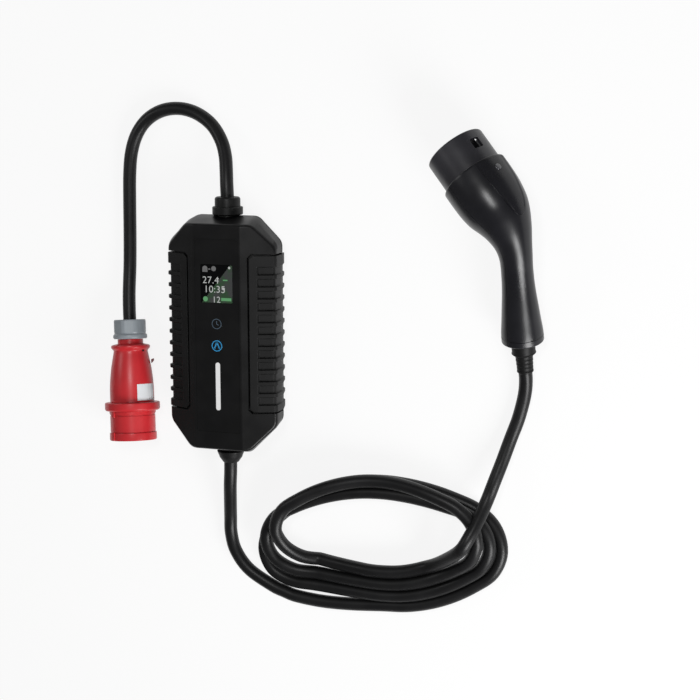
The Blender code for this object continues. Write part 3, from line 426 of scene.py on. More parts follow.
def edge_loop(bm: BMesh, points: Sequence[Vector]) -> list[BMEdge]:
    """Add a closed loop of edges through some points."""
    verts = [bm.verts.new(point) for point in points]
    return [bm.edges.new(pair) for pair in zip(verts, verts[1:] + verts[:1])]


def lofted(loops: Sequence[Sequence[Vector]]) -> BMesh:
    """Extrude a closed loop of edges from section to section and close both ends.

    Args:
        loops: The sections' points, in order, equally many in each.

    Returns:
        The closed skin.
    """
    bm = bmesh.new()
    edges = edge_loop(bm, loops[0])
    verts = list(bm.verts)
    ends = [edges]
    for points in loops[1:]:
        grown = bmesh.ops.extrude_edge_only(bm, edges=edges)["geom"]
        fresh = {item for item in grown if isinstance(item, bmesh.types.BMVert)}
        risen = []
        for vert, point in zip(verts, points):
            above = next(e.other_vert(vert) for e in vert.link_edges if e.other_vert(vert) in fresh)
            above.co = point
            risen.append(above)
        edges = [e for e in grown if isinstance(e, BMEdge) and fresh.issuperset(e.verts)]
        verts = risen
    ends.append(edges)
    for end in ends:
        bmesh.ops.edgeloop_fill(bm, edges=end)
    bmesh.ops.recalc_face_normals(bm, faces=bm.faces)
    return bm


def rounded_outline(corners: Sequence[tuple[float, float]], radius: float, steps: int) -> list[Vector]:
    """Return a plan outline whose corners are rounded into arcs.

    Args:
        corners: The corners in order.
        radius: The radius of the rounding.
        steps: The number of steps in each corner.

    Returns:
        The outline's points in order, at height zero.
    """
    points = []
    count = len(corners)
    for i, corner in enumerate(corners):
        here = Vector(corner)
        before = (Vector(corners[i - 1]) - here).normalized()
        after = (Vector(corners[(i + 1) % count]) - here).normalized()
        opening = before.angle(after)
        centre = here + (before + after).normalized() * (radius / sin(opening / 2))
        reach = radius / tan(opening / 2)
        start = here + before * reach - centre
        sweep = start.angle_signed(here + after * reach - centre)
        for k in range(steps + 1):
            point = centre + Matrix.Rotation(-sweep * k / steps, 2) @ start
            points.append(Vector((point.x, point.y, 0.0)))
    return points


def octagon(half_width: float, half_length: float, cuts: Sequence[float], radius: float) -> list[Vector]:
    """Return the control box's eight-sided outline with rounded corners.

    Args:
        half_width: Half of its width.
        half_length: Half of its length.
        cuts: How far the corners are cut at the top end and at the bottom end.
        radius: The radius of the rounding.

    Returns:
        The outline's points in order, at height zero.
    """
    x, y = half_width, half_length
    top, bottom = cuts
    corners = [
        (x, -y + bottom), (x, y - top), (x - top, y), (-x + top, y),
        (-x, y - top), (-x, -y + bottom), (-x + bottom, -y), (x - bottom, -y),
    ]
    return rounded_outline(corners, radius, 7)


def rectangle(half_width: float, low: float, high: float, radius: float, steps: int = 8) -> list[Vector]:
    """Return a rectangle, centred on X, with rounded corners."""
    corners = [(half_width, low), (half_width, high), (-half_width, high), (-half_width, low)]
    return rounded_outline(corners, radius, steps)


def lifted(outline: Sequence[Vector], height: float) -> list[Vector]:
    """Return an outline moved to a height."""
    return [Vector((p.x, p.y, height)) for p in outline]


def prism(outline: Sequence[Vector], bottom: float, top: float) -> BMesh:
    """Return an outline's face, extruded between two heights."""
    bm = bmesh.new()
    edges = edge_loop(bm, lifted(outline, bottom))
    bmesh.ops.edgeloop_fill(bm, edges=edges)
    risen = bmesh.ops.extrude_face_region(bm, geom=list(bm.faces), use_keep_orig=True)["geom"]
    verts = [item for item in risen if isinstance(item, bmesh.types.BMVert)]
    bmesh.ops.translate(bm, vec=(0, 0, top - bottom), verts=verts)
    bmesh.ops.recalc_face_normals(bm, faces=bm.faces)
    return bm


def disc_outline(
    radius: float, steps: int = SMALL_STEPS, centre: tuple[float, float] = (0, 0)
) -> list[Vector]:
    """Return a round plan outline."""
    x, y = centre
    return [
        Vector((x + radius * cos(tau * i / steps), y + radius * sin(tau * i / steps), 0.0))
        for i in range(steps)
    ]


def block(low: Sequence[float], high: Sequence[float]) -> BMesh:
    """Return a box between two corners."""
    bm = bmesh.new()
    size = Vector(high) - Vector(low)
    middle = (Vector(high) + Vector(low)) / 2
    bmesh.ops.create_cube(bm, size=1.0, matrix=Matrix.Translation(middle) @ Matrix.Diagonal((*size, 1)))
    return bm


class Workpiece:
    """A mesh on the bench, which is cut, joined and softened before it is delivered."""

    def __init__(self, name: str, bm: BMesh, place: Matrix | None = None) -> None:
        """Turn a shape into an object, with its place in its mesh.

        Args:
            name: The piece's name.
            bm: The shape, which is used up.
            place: Where the shape goes, or nothing if it is there already.
        """
        if place is not None:
            bm.transform(place)
        mesh = bpy.data.meshes.new(name)
        bm.to_mesh(mesh)
        bm.free()
        self.obj = bpy.data.objects.new(name, mesh)
        bpy.context.scene.collection.objects.link(self.obj)

    def apply(self) -> None:
        """Apply the piece's modifiers to its mesh."""
        graph = bpy.context.evaluated_depsgraph_get()
        mesh = bpy.data.meshes.new_from_object(self.obj.evaluated_get(graph))
        self.obj.modifiers.clear()
        spent = self.obj.data
        self.obj.data = mesh
        bpy.data.meshes.remove(spent)

    def boolean(
        self, tool: BMesh, place: Matrix | None = None, operation: str = "DIFFERENCE"
    ) -> "Workpiece":
        """Cut a tool from the piece, or join it on.

        Args:
            tool: The tool's shape, which is used up.
            place: Where the tool goes, or nothing if it is there already.
            operation: The Boolean modifier's operation.

        Returns:
            The piece itself.
        """
        helper = Workpiece("tool", tool, place).obj
        modifier = self.obj.modifiers.new("tool", "BOOLEAN")
        modifier.operation = operation
        modifier.solver = "EXACT"
        modifier.object = helper
        self.apply()
        bpy.data.objects.remove(helper, do_unlink=True)
        return self

    def soften(self, width: float, segments: int = 2, angle: float = 30.0) -> "Workpiece":
        """Round the edges that are sharper than an angle, in degrees."""
        modifier = self.obj.modifiers.new("soft edges", "BEVEL")
        modifier.width = width
        modifier.segments = segments
        modifier.limit_method = "ANGLE"
        modifier.angle_limit = radians(angle)
        modifier.use_clamp_overlap = True
        self.apply()
        return self

    def deliver(self, finish: "Finish | Glow | ScreenFinish", slot: str, *replaced: str) -> Object:
        """Shade the piece, dress it and hand it over to the frame.

        Args:
            finish: The piece's finish.
            slot: The record's material slot; it is not used.
            replaced: The solids that the piece stands for.

        Returns:
            The finished piece.
        """
        mesh = self.obj.data
        mesh.shade_smooth()
        mesh.set_sharp_from_angle(angle=radians(38))
        weighted = self.obj.modifiers.new("even shading", "WEIGHTED_NORMAL")
        weighted.keep_sharp = True
        self.apply()
        self.obj.data.materials.clear()
        self.obj.data.materials.append(finish.make())
        hand_over(self.obj, slot, *replaced)
        return self.obj


def hand_over(obj: Object, slot: str, *replaced: str) -> None:
    """Make a piece ride on the frame and hide the solids that it stands for."""
    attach(obj, BODY)
    if replaced:
        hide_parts(*replaced)
    log.info("made %s", obj.name)


def written(text: str, height: float, x: float, y: float, z: float) -> BMesh:
    """Return figures as a thin solid, lying flat and read from above.

    Args:
        text: The figures.
        height: The height of a figure in metres.
        x: The left end.
        y: The foot.
        z: The height of the surface below.

    Returns:
        The figures' shape.
    """
    curve = bpy.data.curves.new("figures", "FONT")
    curve.body = text
    curve.size = height / FIGURE_SHARE
    curve.extrude = FIGURE_RISE
    curve.space_character = FIGURE_SPACING
    helper = bpy.data.objects.new("figures", curve)
    bpy.context.scene.collection.objects.link(helper)
    graph = bpy.context.evaluated_depsgraph_get()
    mesh = bpy.data.meshes.new_from_object(helper.evaluated_get(graph))
    bm = bmesh.new()
    bm.from_mesh(mesh)
    bmesh.ops.remove_doubles(bm, verts=bm.verts, dist=MERGE)
    bm.transform(Matrix.Translation((x, y, z)))
    bpy.data.objects.remove(helper, do_unlink=True)
    bpy.data.meshes.remove(mesh)
    return bm


def gathered(shapes: Sequence[BMesh]) -> BMesh:
    """Return several shapes as one, each still a body of its own."""
    whole = bmesh.new()
    for shape in shapes:
        mesh = bpy.data.meshes.new("part")
        shape.to_mesh(mesh)
        shape.free()
        whole.from_mesh(mesh)
        bpy.data.meshes.remove(mesh)
    return whole


# Studio


@dataclass
class Studio:
    """The pale floor, the soft lights and the camera above."""

    lens: float = 80.0
    sensor: float = 36.0
    lean_right: float = radians(18)
    lean_up: float = radians(10)
    target: tuple[float, float, float] = (0.1137, -0.0142, 0.0)
    distance: float = 1.49
    floor_half: float = 3.0
    floor_drop: float = 0.0001
    floor_colour: Colour = (0.86, 0.86, 0.86)
    sky: float = 0.18
    white_share: float = 0.86

    def build(self) -> None:
        """Set up the camera, the floor, the world and the lights."""
        self.set_camera()
        self.lay_floor()
        self.set_world()
        self.hang_lights()
        bpy.context.scene.view_settings.view_transform = "Standard"

    def set_camera(self) -> None:
        """Place the camera above the charger, leaning right and up."""
        data = bpy.data.cameras.new("camera")
        data.lens = self.lens
        data.sensor_width = self.sensor
        data.clip_start = 0.05
        data.clip_end = 20.0
        camera = bpy.data.objects.new("camera", data)
        bpy.context.scene.collection.objects.link(camera)
        a, b = self.lean_right, self.lean_up
        back = Vector((sin(a) * cos(b), sin(b), cos(a) * cos(b))).normalized()
        right = Vector((0, 1, 0)).cross(back).normalized()
        turn = Matrix((right, back.cross(right), back)).transposed().to_4x4()
        camera.matrix_world = Matrix.Translation(Vector(self.target) + back * self.distance) @ turn
        bpy.context.scene.camera = camera

    def lay_floor(self) -> None:
        """Lay the floor: nearly white to the camera and in reflections, with the charger's soft shadow."""
        bm = bmesh.new()
        bmesh.ops.create_grid(
            bm, x_segments=1, y_segments=1, size=self.floor_half,
            matrix=Matrix.Translation((0, 0, -self.floor_drop)),
        )
        floor = Workpiece("studio_floor", bm).obj
        bench = NodeBench("studio_floor_paint")
        bench.shader.inputs["Base Color"].default_value = (*self.floor_colour, 1.0)
        bench.shader.inputs["Roughness"].default_value = 0.9
        bench.shader.inputs["Specular IOR Level"].default_value = 0.0
        white = bench.add("ShaderNodeEmission", Strength=1.0)
        rays = bench.add("ShaderNodeLightPath")
        seen = bench.math("ADD", rays.outputs["Is Camera Ray"], rays.outputs["Is Glossy Ray"])
        seen = bench.math("ADD", seen, rays.outputs["Is Transmission Ray"])
        share = bench.math("MULTIPLY", bench.math("MINIMUM", seen, 1.0), self.white_share)
        mix = bench.add("ShaderNodeMixShader")
        bench.link(share, mix.inputs[0])
        bench.link(bench.shader.outputs[0], mix.inputs[1])
        bench.link(white.outputs[0], mix.inputs[2])
        bench.link(mix.outputs[0], bench.tree.nodes["Material Output"].inputs["Surface"])
        floor.data.materials.append(bench.material)

    def set_world(self) -> None:
        """Fill the surroundings with dim light; the camera sees them white."""
        world = bpy.data.worlds.new("studio_air")
        bpy.context.scene.world = world
        world.use_nodes = True
        tree = world.node_tree
        dim = tree.nodes["Background"]
        dim.inputs["Color"].default_value = (1.0, 1.0, 1.0, 1.0)
        dim.inputs["Strength"].default_value = self.sky
        white = tree.nodes.new("ShaderNodeBackground")
        rays = tree.nodes.new("ShaderNodeLightPath")
        mix = tree.nodes.new("ShaderNodeMixShader")
        tree.links.new(rays.outputs["Is Camera Ray"], mix.inputs[0])
        tree.links.new(dim.outputs[0], mix.inputs[1])
        tree.links.new(white.outputs[0], mix.inputs[2])
        tree.links.new(mix.outputs[0], tree.nodes["World Output"].inputs["Surface"])

    def hang_lights(self) -> None:
        """Hang the soft boxes: in front at the right, behind at the left and above the connector."""
        self.soft_box("key_light", (1.15, -0.85, 0.75), (0.08, 0.0, 0.0), 0.7, 24.0)
        self.soft_box("side_light", (-0.95, 0.45, 0.85), (0.15, 0.0, 0.0), 0.4, 2.0)
        self.soft_box("top_light", (0.29, 0.38, 1.22), (0.25, 0.12, 0.0), 0.26, 5.0)

    def soft_box(
        self, name: str, spot: Sequence[float], aim: Sequence[float], size: float, power: float
    ) -> None:
        """Hang a square area light.

        Args:
            name: The light's name.
            spot: Where it hangs.
            aim: The point that it faces.
            size: The length of its side.
            power: Its power in watts.
        """
        light = bpy.data.lights.new(name, "AREA")
        light.size = size
        light.energy = power
        obj = bpy.data.objects.new(name, light)
        bpy.context.scene.collection.objects.link(obj)
        turn = (Vector(spot) - Vector(aim)).to_track_quat("Z", "Y").to_matrix().to_4x4()
        obj.matrix_world = Matrix.Translation(spot) @ turn


# Cords


@dataclass
class CordLine:
    """A cord's centre line: a smooth curve through given points or ones worked out by a loop."""

    knots: list[Vector]
    spacing: float = 0.004
    steps: int = 12

    def fine(self) -> list[Vector]:
        """Return many points of the smooth curve through the knots."""
        knots = [self.knots[0] * 2 - self.knots[1], *self.knots, self.knots[-1] * 2 - self.knots[-2]]
        points = [knots[1]]
        for before, a, b, after in zip(knots, knots[1:], knots[2:], knots[3:]):
            for k in range(1, self.steps + 1):
                t = k / self.steps
                bend = 2 * before - 5 * a + 4 * b - after
                twist = 3 * a - before - 3 * b + after
                points.append(0.5 * (2 * a + (b - before) * t + bend * t**2 + twist * t**3))
        return points

    def even(self) -> list[Vector]:
        """Return points evenly spaced along the curve."""
        fine = self.fine()
        reached = [0.0]
        for a, b in zip(fine, fine[1:]):
            reached.append(reached[-1] + (b - a).length)
        count = round(reached[-1] / self.spacing)
        read, j = [], 0
        for i in range(count + 1):
            want = reached[-1] * i / count
            while j < len(fine) - 2 and reached[j + 1] < want:
                j += 1
            share = (want - reached[j]) / max(reached[j + 1] - reached[j], 1e-9)
            read.append(fine[j].lerp(fine[j + 1], min(share, 1.0)))
        return read


def line_length(points: Sequence[Vector]) -> float:
    """Return the length of a line through points."""
    return sum((b - a).length for a, b in zip(points, points[1:]))


def draw_cord(name: str, points: Sequence[Vector], radius: float) -> Object:
    """Return a round cord as a curve object along some points.

    Args:
        name: The cord's name.
        points: The points of its centre line.
        radius: Its radius in metres.

    Returns:
        The curve object.
    """
    curve = bpy.data.curves.new(name, "CURVE")
    curve.dimensions = "3D"
    curve.bevel_depth = radius
    curve.bevel_resolution = 6
    curve.use_fill_caps = True
    spline = curve.splines.new("POLY")
    spline.points.add(len(points) - 1)
    for target, point in zip(spline.points, points):
        target.co = (*point, 1.0)
    spline.use_smooth = True
    curve.materials.append(JACKET.make())
    obj = bpy.data.objects.new(name, curve)
    bpy.context.scene.collection.objects.link(obj)
    return obj


@dataclass
class InputCord:
    """The short cord that loops from the box's upper gland to the plug."""

    diameter: float = 0.0128
    exit: tuple[float, float, float] = (0.0, 0.1316, 0.0260)
    route: tuple[tuple[float, float, float], ...] = (
        (-0.0001, 0.1285, 0.0260),
        (-0.0002, 0.1320, 0.0260), (-0.0008, 0.1430, 0.0256), (-0.0022, 0.1560, 0.0228),
        (-0.0048, 0.1700, 0.0186), (-0.0104, 0.1840, 0.0146), (-0.0215, 0.1985, 0.0108),
        (-0.0380, 0.2090, 0.0078), (-0.0560, 0.2135, 0.0068), (-0.0745, 0.2115, 0.0066),
        (-0.0905, 0.2030, 0.0066), (-0.1020, 0.1890, 0.0066), (-0.1085, 0.1710, 0.0066),
        (-0.1110, 0.1500, 0.0066), (-0.1118, 0.1220, 0.0066), (-0.1122, 0.0900, 0.0068),
        (-0.1124, 0.0600, 0.0082), (-0.1122, 0.0350, 0.0118), (-0.1113, 0.0180, 0.0143),
        (-0.1104, 0.0073, 0.0158), (-0.1102, 0.0042, 0.0163),
    )

    def build(self, with_pieces: Sequence[Object | str]) -> Object:
        """Args:
            with_pieces: The pieces on the cord; they are not used.

        Returns:
            The cord.
        """
        points = CordLine([Vector(p) for p in self.route]).even()
        cord = draw_cord("input_cord_jacket", points, self.diameter / 2)
        hand_over(cord, "cord_black", "input_cord")
        log.info("input cord is %.3f m long", line_length(points))
        return cord


@dataclass
class OutputCord:
    """The long cord: a lead out of the lower gland, an oval coil and a riser to the connector."""

    diameter: float = 0.0128
    floor: float = 0.0066
    exit: tuple[float, float, float] = (0.0, -0.1266, 0.0260)
    lead: tuple[tuple[float, float, float], ...] = (
        (-0.0002, -0.1236, 0.0260),
        (-0.0004, -0.1270, 0.0260), (-0.0008, -0.1370, 0.0255), (-0.0028, -0.1520, 0.0222),
        (-0.0056, -0.1700, 0.0156), (-0.0082, -0.1880, 0.0092), (-0.0088, -0.2050, 0.0068),
        (-0.0040, -0.2230, 0.0066), (0.0100, -0.2410, 0.0066), (0.0350, -0.2555, 0.0066),
        (0.0480, -0.2602, 0.0066), (0.0600, -0.2636, 0.0066),
    )
    riser: tuple[tuple[float, float, float], ...] = (
        (0.2335, -0.1915, 0.0200),
        (0.2435, -0.1755, 0.0200), (0.2495, -0.1610, 0.0199), (0.2543, -0.1470, 0.0194),
        (0.2603, -0.1290, 0.0172), (0.2668, -0.1090, 0.0116), (0.2731, -0.0890, 0.0078),
        (0.2797, -0.0700, 0.0066), (0.2841, -0.0530, 0.0067), (0.2862, -0.0410, 0.0072),
        (0.2868, -0.0305, 0.0088), (0.2866, -0.0236, 0.0106),
        (0.2859, -0.0060, 0.0154), (0.2854, 0.0066, 0.0189), (0.2845, 0.0292, 0.0252),
        (0.2837, 0.0499, 0.0309), (0.2828, 0.0711, 0.0367),
    )
    lifted_until: float = -0.1330
    fade: float = 0.060
    middle: float = 0.1497
    front_right: float = 0.52
    back_right: float = 0.74
    back_left: float = 0.50
    front_left: float = 0.90
    foot_bulge: float = 0.34
    fronts: tuple[float, ...] = (-0.2633, -0.2515, -0.2390, -0.2263)
    rights: tuple[tuple[float, float], ...] = ((0.2663, -0.1985), (0.2572, -0.1925), (0.2475, -0.1855))
    backs: tuple[float, ...] = (-0.1393, -0.1478, -0.1352)
    lefts: tuple[tuple[float, float], ...] = ((0.0267, -0.2165), (0.0335, -0.2015), (0.0478, -0.1880))
    rising: tuple[float, float] = (0.2500, -0.1650)
    run_in: tuple[tuple[float, float], ...] = ((0.0870, -0.2662), (0.1170, -0.2658))
    quarter_points: int = 6
    lay_distance: float = 0.0129
    own_reach: float = 0.030
    coil_depth: float = 0.006
    ease: float = 0.024

    def quarter(self, end: tuple[float, float], crest: float, bulge: float, share: float) -> Vector:
        """Return a point on a quarter of an oval of two arcs.

        Args:
            end: The end of the oval that the quarter touches.
            crest: Where the oval's front or back crosses the middle.
            bulge: The radius at the end, as a share of the quarter's length.
            share: The share of the way along the quarter, counted from its end.

        Returns:
            The point, on the floor.
        """
        half_width, half_length = abs(end[0] - self.middle), abs(crest - end[1])
        small = bulge * half_length
        large = ((half_width - small) ** 2 + half_length**2 - small**2) / (2 * (half_length - small))
        meeting = atan2(large - half_length, half_width - small)
        bow = small * meeting
        reach = share * (bow + large * (pi / 2 - meeting))
        if reach <= bow:
            across = half_width - small + small * cos(reach / small)
            along = small * sin(reach / small)
        else:
            angle = meeting + (reach - bow) / large
            across = large * cos(angle)
            along = half_length - large + large * sin(angle)
        x = self.middle + copysign(across, end[0] - self.middle)
        return Vector((x, end[1] + copysign(along, crest - end[1]), self.floor))

    def coil_knots(self) -> list[Vector]:
        """Return the points of the oval turns, from the front round to the riser's foot."""
        knots = [Vector((*place, self.floor)) for place in self.run_in]
        shares = [k / self.quarter_points for k in range(self.quarter_points)]
        for turn, (right, back, left) in enumerate(zip(self.rights, self.backs, self.lefts)):
            front, after = self.fronts[turn], self.fronts[turn + 1]
            knots += [self.quarter(right, front, self.front_right, 1 - share) for share in shares]
            knots += [self.quarter(right, back, self.back_right, share) for share in shares]
            knots += [self.quarter(left, back, self.back_left, 1 - share) for share in shares]
            knots += [self.quarter(left, after, self.front_left, share) for share in shares]
        half = len(shares) // 2 + 1
        knots += [self.quarter(self.rising, self.fronts[-1], self.foot_bulge, 1 - s) for s in shares[:half]]
        return knots

    def points(self) -> list[Vector]:
        """Return the whole centre line, with each turn laid on what is below it."""
        knots = [Vector(p) for p in self.lead] + self.coil_knots() + [Vector(p) for p in self.riser]
        line = CordLine(knots).even()
        return self.laid(line)

    def laid(self, line: list[Vector]) -> list[Vector]:
        """Lift each point that passes over earlier ones, in long low humps.

        Args:
            line: Evenly spaced points at their own heights.

        Returns:
            The points at their heights as laid.
        """
        step = line_length(line) / (len(line) - 1)
        near = int(self.own_reach / step)
        heights = [point.z for point in line]
        for i, point in enumerate(line):
            for j in range(i - near):
                apart = (point.xy - line[j].xy).length
                if apart < self.lay_distance:
                    over = heights[j] + sqrt(self.lay_distance**2 - apart**2)
                    heights[i] = max(heights[i], over)
        reach = int(self.ease / step)
        count = len(heights)
        tops = [max(heights[max(i - reach, 0):i + reach + 1]) for i in range(count)]
        eased = []
        for i in range(count):
            around = tops[max(i - reach, 0):i + reach + 1]
            eased.append(sum(around) / len(around))
        first = next(i for i, p in enumerate(line) if p.y < self.fronts[0] + self.coil_depth)
        last = next(i for i in range(count - 1, 0, -1) if line[i].y < self.lifted_until)
        laid = []
        for i, point in enumerate(line):
            inside = min(max(min(i - first, last - i) * step / self.fade, 0.0), 1.0)
            lift = max(eased[i] - point.z, 0.0) * inside**2 * (3 - 2 * inside)
            laid.append(Vector((point.x, point.y, point.z + lift)))
        return laid

    def build(self, with_pieces: Sequence[Object | str]) -> Object:
        """Args:
            with_pieces: The pieces on the cord; they are not used.

        Returns:
            The cord.
        """
        points = self.points()
        cord = draw_cord("output_cord_jacket", points, self.diameter / 2)
        hand_over(cord, "cord_black", "output_cord_lead", "output_cord_coil", "output_cord_riser")
        log.info("output cord is %.3f m long", line_length(points))
        return cord


# Control box


@dataclass
class ControlBox:
    """The in-cord control box: two shells, two ribbed grips and the lit front panel."""

    half_width: float = 0.055
    half_length: float = 0.1145
    height: float = 0.056
    parting: float = 0.026
    seam: float = 0.0006
    cuts: tuple[float, float] = (0.0237, 0.0340)
    corner_radius: float = 0.011
    plateau_half_width: float = 0.024
    shoulder: float = 0.0444
    shoulder_half_width: float = 0.0536
    shoulder_half_length: float = 0.1066
    shoulder_cuts: tuple[float, float] = (0.0205, 0.0234)
    panel_half_width: float = 0.022
    panel_bottom: float = -0.0905
    panel_top: float = 0.094
    panel_thickness: float = 0.0006
    panel_corner: float = 0.003
    panel_cut: tuple[float, float] = (0.050, 0.060)
    screen_half_width: float = 0.016
    screen_half_length: float = 0.018
    screen_y: float = 0.052
    screen_back: float = 0.0550
    screen_seat: float = 0.0547
    mark_rise: float = 0.00004
    point_rise: float = 0.00005
    hoop_rise: float = 0.00006
    timer_y: float = 0.0135
    timer_radius: float = 0.0048
    current_y: float = -0.0071
    current_radius: float = 0.0056
    bar_y: float = -0.0463
    bar_half_length: float = 0.023
    bar_half_width: float = 0.0022
    bar_back: float = 0.0463
    bar_seat: float = 0.0400
    cut_above: float = 0.004
    flush: float = 0.0001
    grip_bottom: float = -0.070
    grip_top: float = 0.079
    grip_inner_edge: float = 0.0316
    grip_clearance: float = 0.0016
    grip_corner: float = 0.0034
    grip_grooves: int = 12
    groove_pitch: float = 0.0113
    groove_width: float = 0.0066
    groove_wall: float = 0.0007
    first_groove: float = 0.0648
    screw_x: float = 0.034
    screw_rows: tuple[float, ...] = (-0.080, 0.0, 0.080)
    screw_bore: float = 0.0033
    screw_seat: float = 0.0031
    end_wall: float = 0.004
    gland_hole: float = 0.0093
    gland_hole_reach: float = 0.012
    gland_flange: float = 0.0146

    def build(self) -> list[Object]:
        """Build and dress every piece of the box.

        Returns:
            The two glands.
        """
        self.front_shell()
        self.rear_shell()
        for side in (-1, 1):
            self.grip(side)
        self.panel()
        self.screen()
        self.screen_marks()
        self.keys()
        self.status_bar()
        self.dress_inner_parts()
        return self.glands()

    def ring(self, size: tuple[float, float], cuts: tuple[float, float], height: float) -> list[Vector]:
        """Return one of a shell's outlines.

        Args:
            size: Its half width and half length.
            cuts: Its corner cuts at the top end and at the bottom end.
            height: Its height.

        Returns:
            The outline's points in order.
        """
        return lifted(octagon(*size, cuts, self.corner_radius), height)

    def on_front(self, outline: Sequence[Vector], drop: float) -> list[Vector]:
        """Lay an outline on the front's faces, or a little below them."""
        return [Vector((p.x, p.y, self.facet(p.x) - drop)) for p in outline]

    def ridged(self, outline: Sequence[Vector]) -> list[Vector]:
        """Return an outline with the points of the front's two ridges added to its two ends."""
        count = len(outline) // 8
        points = []
        for i, here in enumerate(outline):
            points.append(here)
            if (i + 1) % (4 * count) == 3 * count:
                reach = min(self.plateau_half_width, 0.95 * abs(here.x)) * (1 if here.x > 0 else -1)
                points += [Vector((reach, here.y, here.z)), Vector((-reach, here.y, here.z))]
        return points

    def front_shell(self) -> Object:
        """The upper shell, with its pockets for the grips and the panel."""
        rim = self.parting + self.seam
        shoulder = octagon(
            self.shoulder_half_width, self.shoulder_half_length, self.shoulder_cuts, self.corner_radius
        )
        under = octagon(0.0549, 0.1082, (0.0214, 0.0243), self.corner_radius)
        rings = [
            lifted(octagon(0.0270, 0.0950, (0.0120, 0.0120), 0.004), 0.0470),
            self.ring((0.0460, 0.1050), (0.0234, 0.0264), 0.0405),
            self.ring((0.0475, 0.1070), (0.0201, 0.0296), rim),
            self.ring((self.half_width, self.half_length), self.cuts, rim),
            self.ring((0.0552, 0.1122), (0.0227, 0.0285), 0.0390),
        ]
        skin = lofted([self.ridged(ring) for ring in rings] + [
            self.on_front(self.ridged(under), 0.0016), self.on_front(self.ridged(shoulder), 0.0),
        ])
        self.crease(skin)
        shell = Workpiece("front_shell", skin)
        shell.soften(0.0009, 3, 12.0)
        self.cut_pockets(shell)
        inset = GAP / 2
        film = rectangle(
            self.panel_half_width + inset, self.panel_bottom - inset, self.panel_top + inset,
            self.panel_corner,
        )
        above = self.height + self.cut_above
        shell.boolean(prism(film, self.height - self.panel_thickness - GAP, above))
        shell.boolean(prism(self.screen_outline(0.0006), self.screen_seat, above))
        shell.boolean(prism(self.bar_outline(GAP), self.bar_seat, above))
        self.cut_gland_holes(shell)
        return shell.deliver(SHELL, "black_shell", "front_housing")

    def crease(self, skin: BMesh) -> None:
        """Part the front into its level middle and two sloping facets."""
        for side in (-1, 1):
            ridge = side * self.plateau_half_width
            ends = [v for v in skin.verts if abs(v.co.x - ridge) < MERGE and self.height - v.co.z < MERGE]
            bmesh.ops.connect_verts(skin, verts=ends)

    def rear_shell(self) -> Object:
        """The lower shell, with its bevelled foot and counterbored screw holes."""
        rim = self.parting - self.seam
        skin = lofted([
            self.ring((0.0425, 0.1040), (0.0178, 0.0263), 0.0),
            self.ring((0.0452, 0.1068), (0.0194, 0.0279), 0.0018),
            self.ring((0.0470, 0.1085), (0.0204, 0.0289), 0.0060),
            self.ring((self.half_width, self.half_length), self.cuts, rim),
            self.ring((0.0475, 0.1070), (0.0201, 0.0296), rim),
            self.ring((0.0420, 0.1015), (0.0169, 0.0254), 0.0036),
        ])
        shell = Workpiece("rear_shell", skin)
        shell.soften(0.0005, 2, 12.0)
        self.cut_pockets(shell)
        bores = gathered([
            prism(disc_outline(self.screw_bore, 24, (x, y)), -0.001, self.screw_seat)
            for y in self.screw_rows for x in (-self.screw_x, self.screw_x)
        ])
        shell.boolean(bores)
        self.cut_gland_holes(shell)
        return shell.deliver(SHELL, "black_shell", "rear_housing")

    def cut_pockets(self, shell: Workpiece) -> None:
        """Cut the hollows that seat the two grips."""
        ends = self.grip_ends(self.grip_clearance)
        for side in (-1, 1):
            shell.boolean(lofted([self.pocket_section(side, y, edge) for y, edge in ends]))

    def cut_gland_holes(self, shell: Workpiece) -> None:
        """Cut the half-round holes that take the two glands."""
        wall, reach = self.half_length - self.end_wall, self.gland_hole_reach
        for y in (wall, -wall):
            shell.boolean(prism(disc_outline(self.gland_hole), -reach, reach), self.end_frame(y))

    def end_frame(self, y: float) -> Matrix:
        """Return the frame of a gland hole, its axis along the box."""
        return Matrix.Translation((0, y, self.parting)) @ Matrix.Rotation(pi / 2, 4, "X")

    def facet(self, x: float) -> float:
        """Return the front's height: level in the middle, then falling to the shoulder."""
        fall = (self.height - self.shoulder) / (self.shoulder_half_width - self.plateau_half_width)
        return self.height - fall * max(abs(x) - self.plateau_half_width, 0.0)

    def grip_ends(self, grow: float) -> list[tuple[float, float]]:
        """Return the stations that close a grip's cut corners, grown all round."""
        inner = self.grip_inner_edge - grow
        cut = self.grip_corner
        low, high = self.grip_bottom - grow, self.grip_top + grow
        return [(low, inner + cut), (low + cut, inner), (high - cut, inner), (high, inner + cut)]

    def pocket_section(self, side: int, y: float, edge: float) -> list[Vector]:
        """Return the section of the hollow that seats a grip, open outwards."""
        line = [
            (edge, 0.0620), (edge, self.facet(edge) - 0.0040), (0.0492, 0.0423), (0.0505, 0.0400),
            (0.0507, 0.0260), (0.0476, 0.0112), (0.0640, 0.0112), (0.0640, 0.0620),
        ]
        return [Vector((side * x, y, z)) for x, z in line]

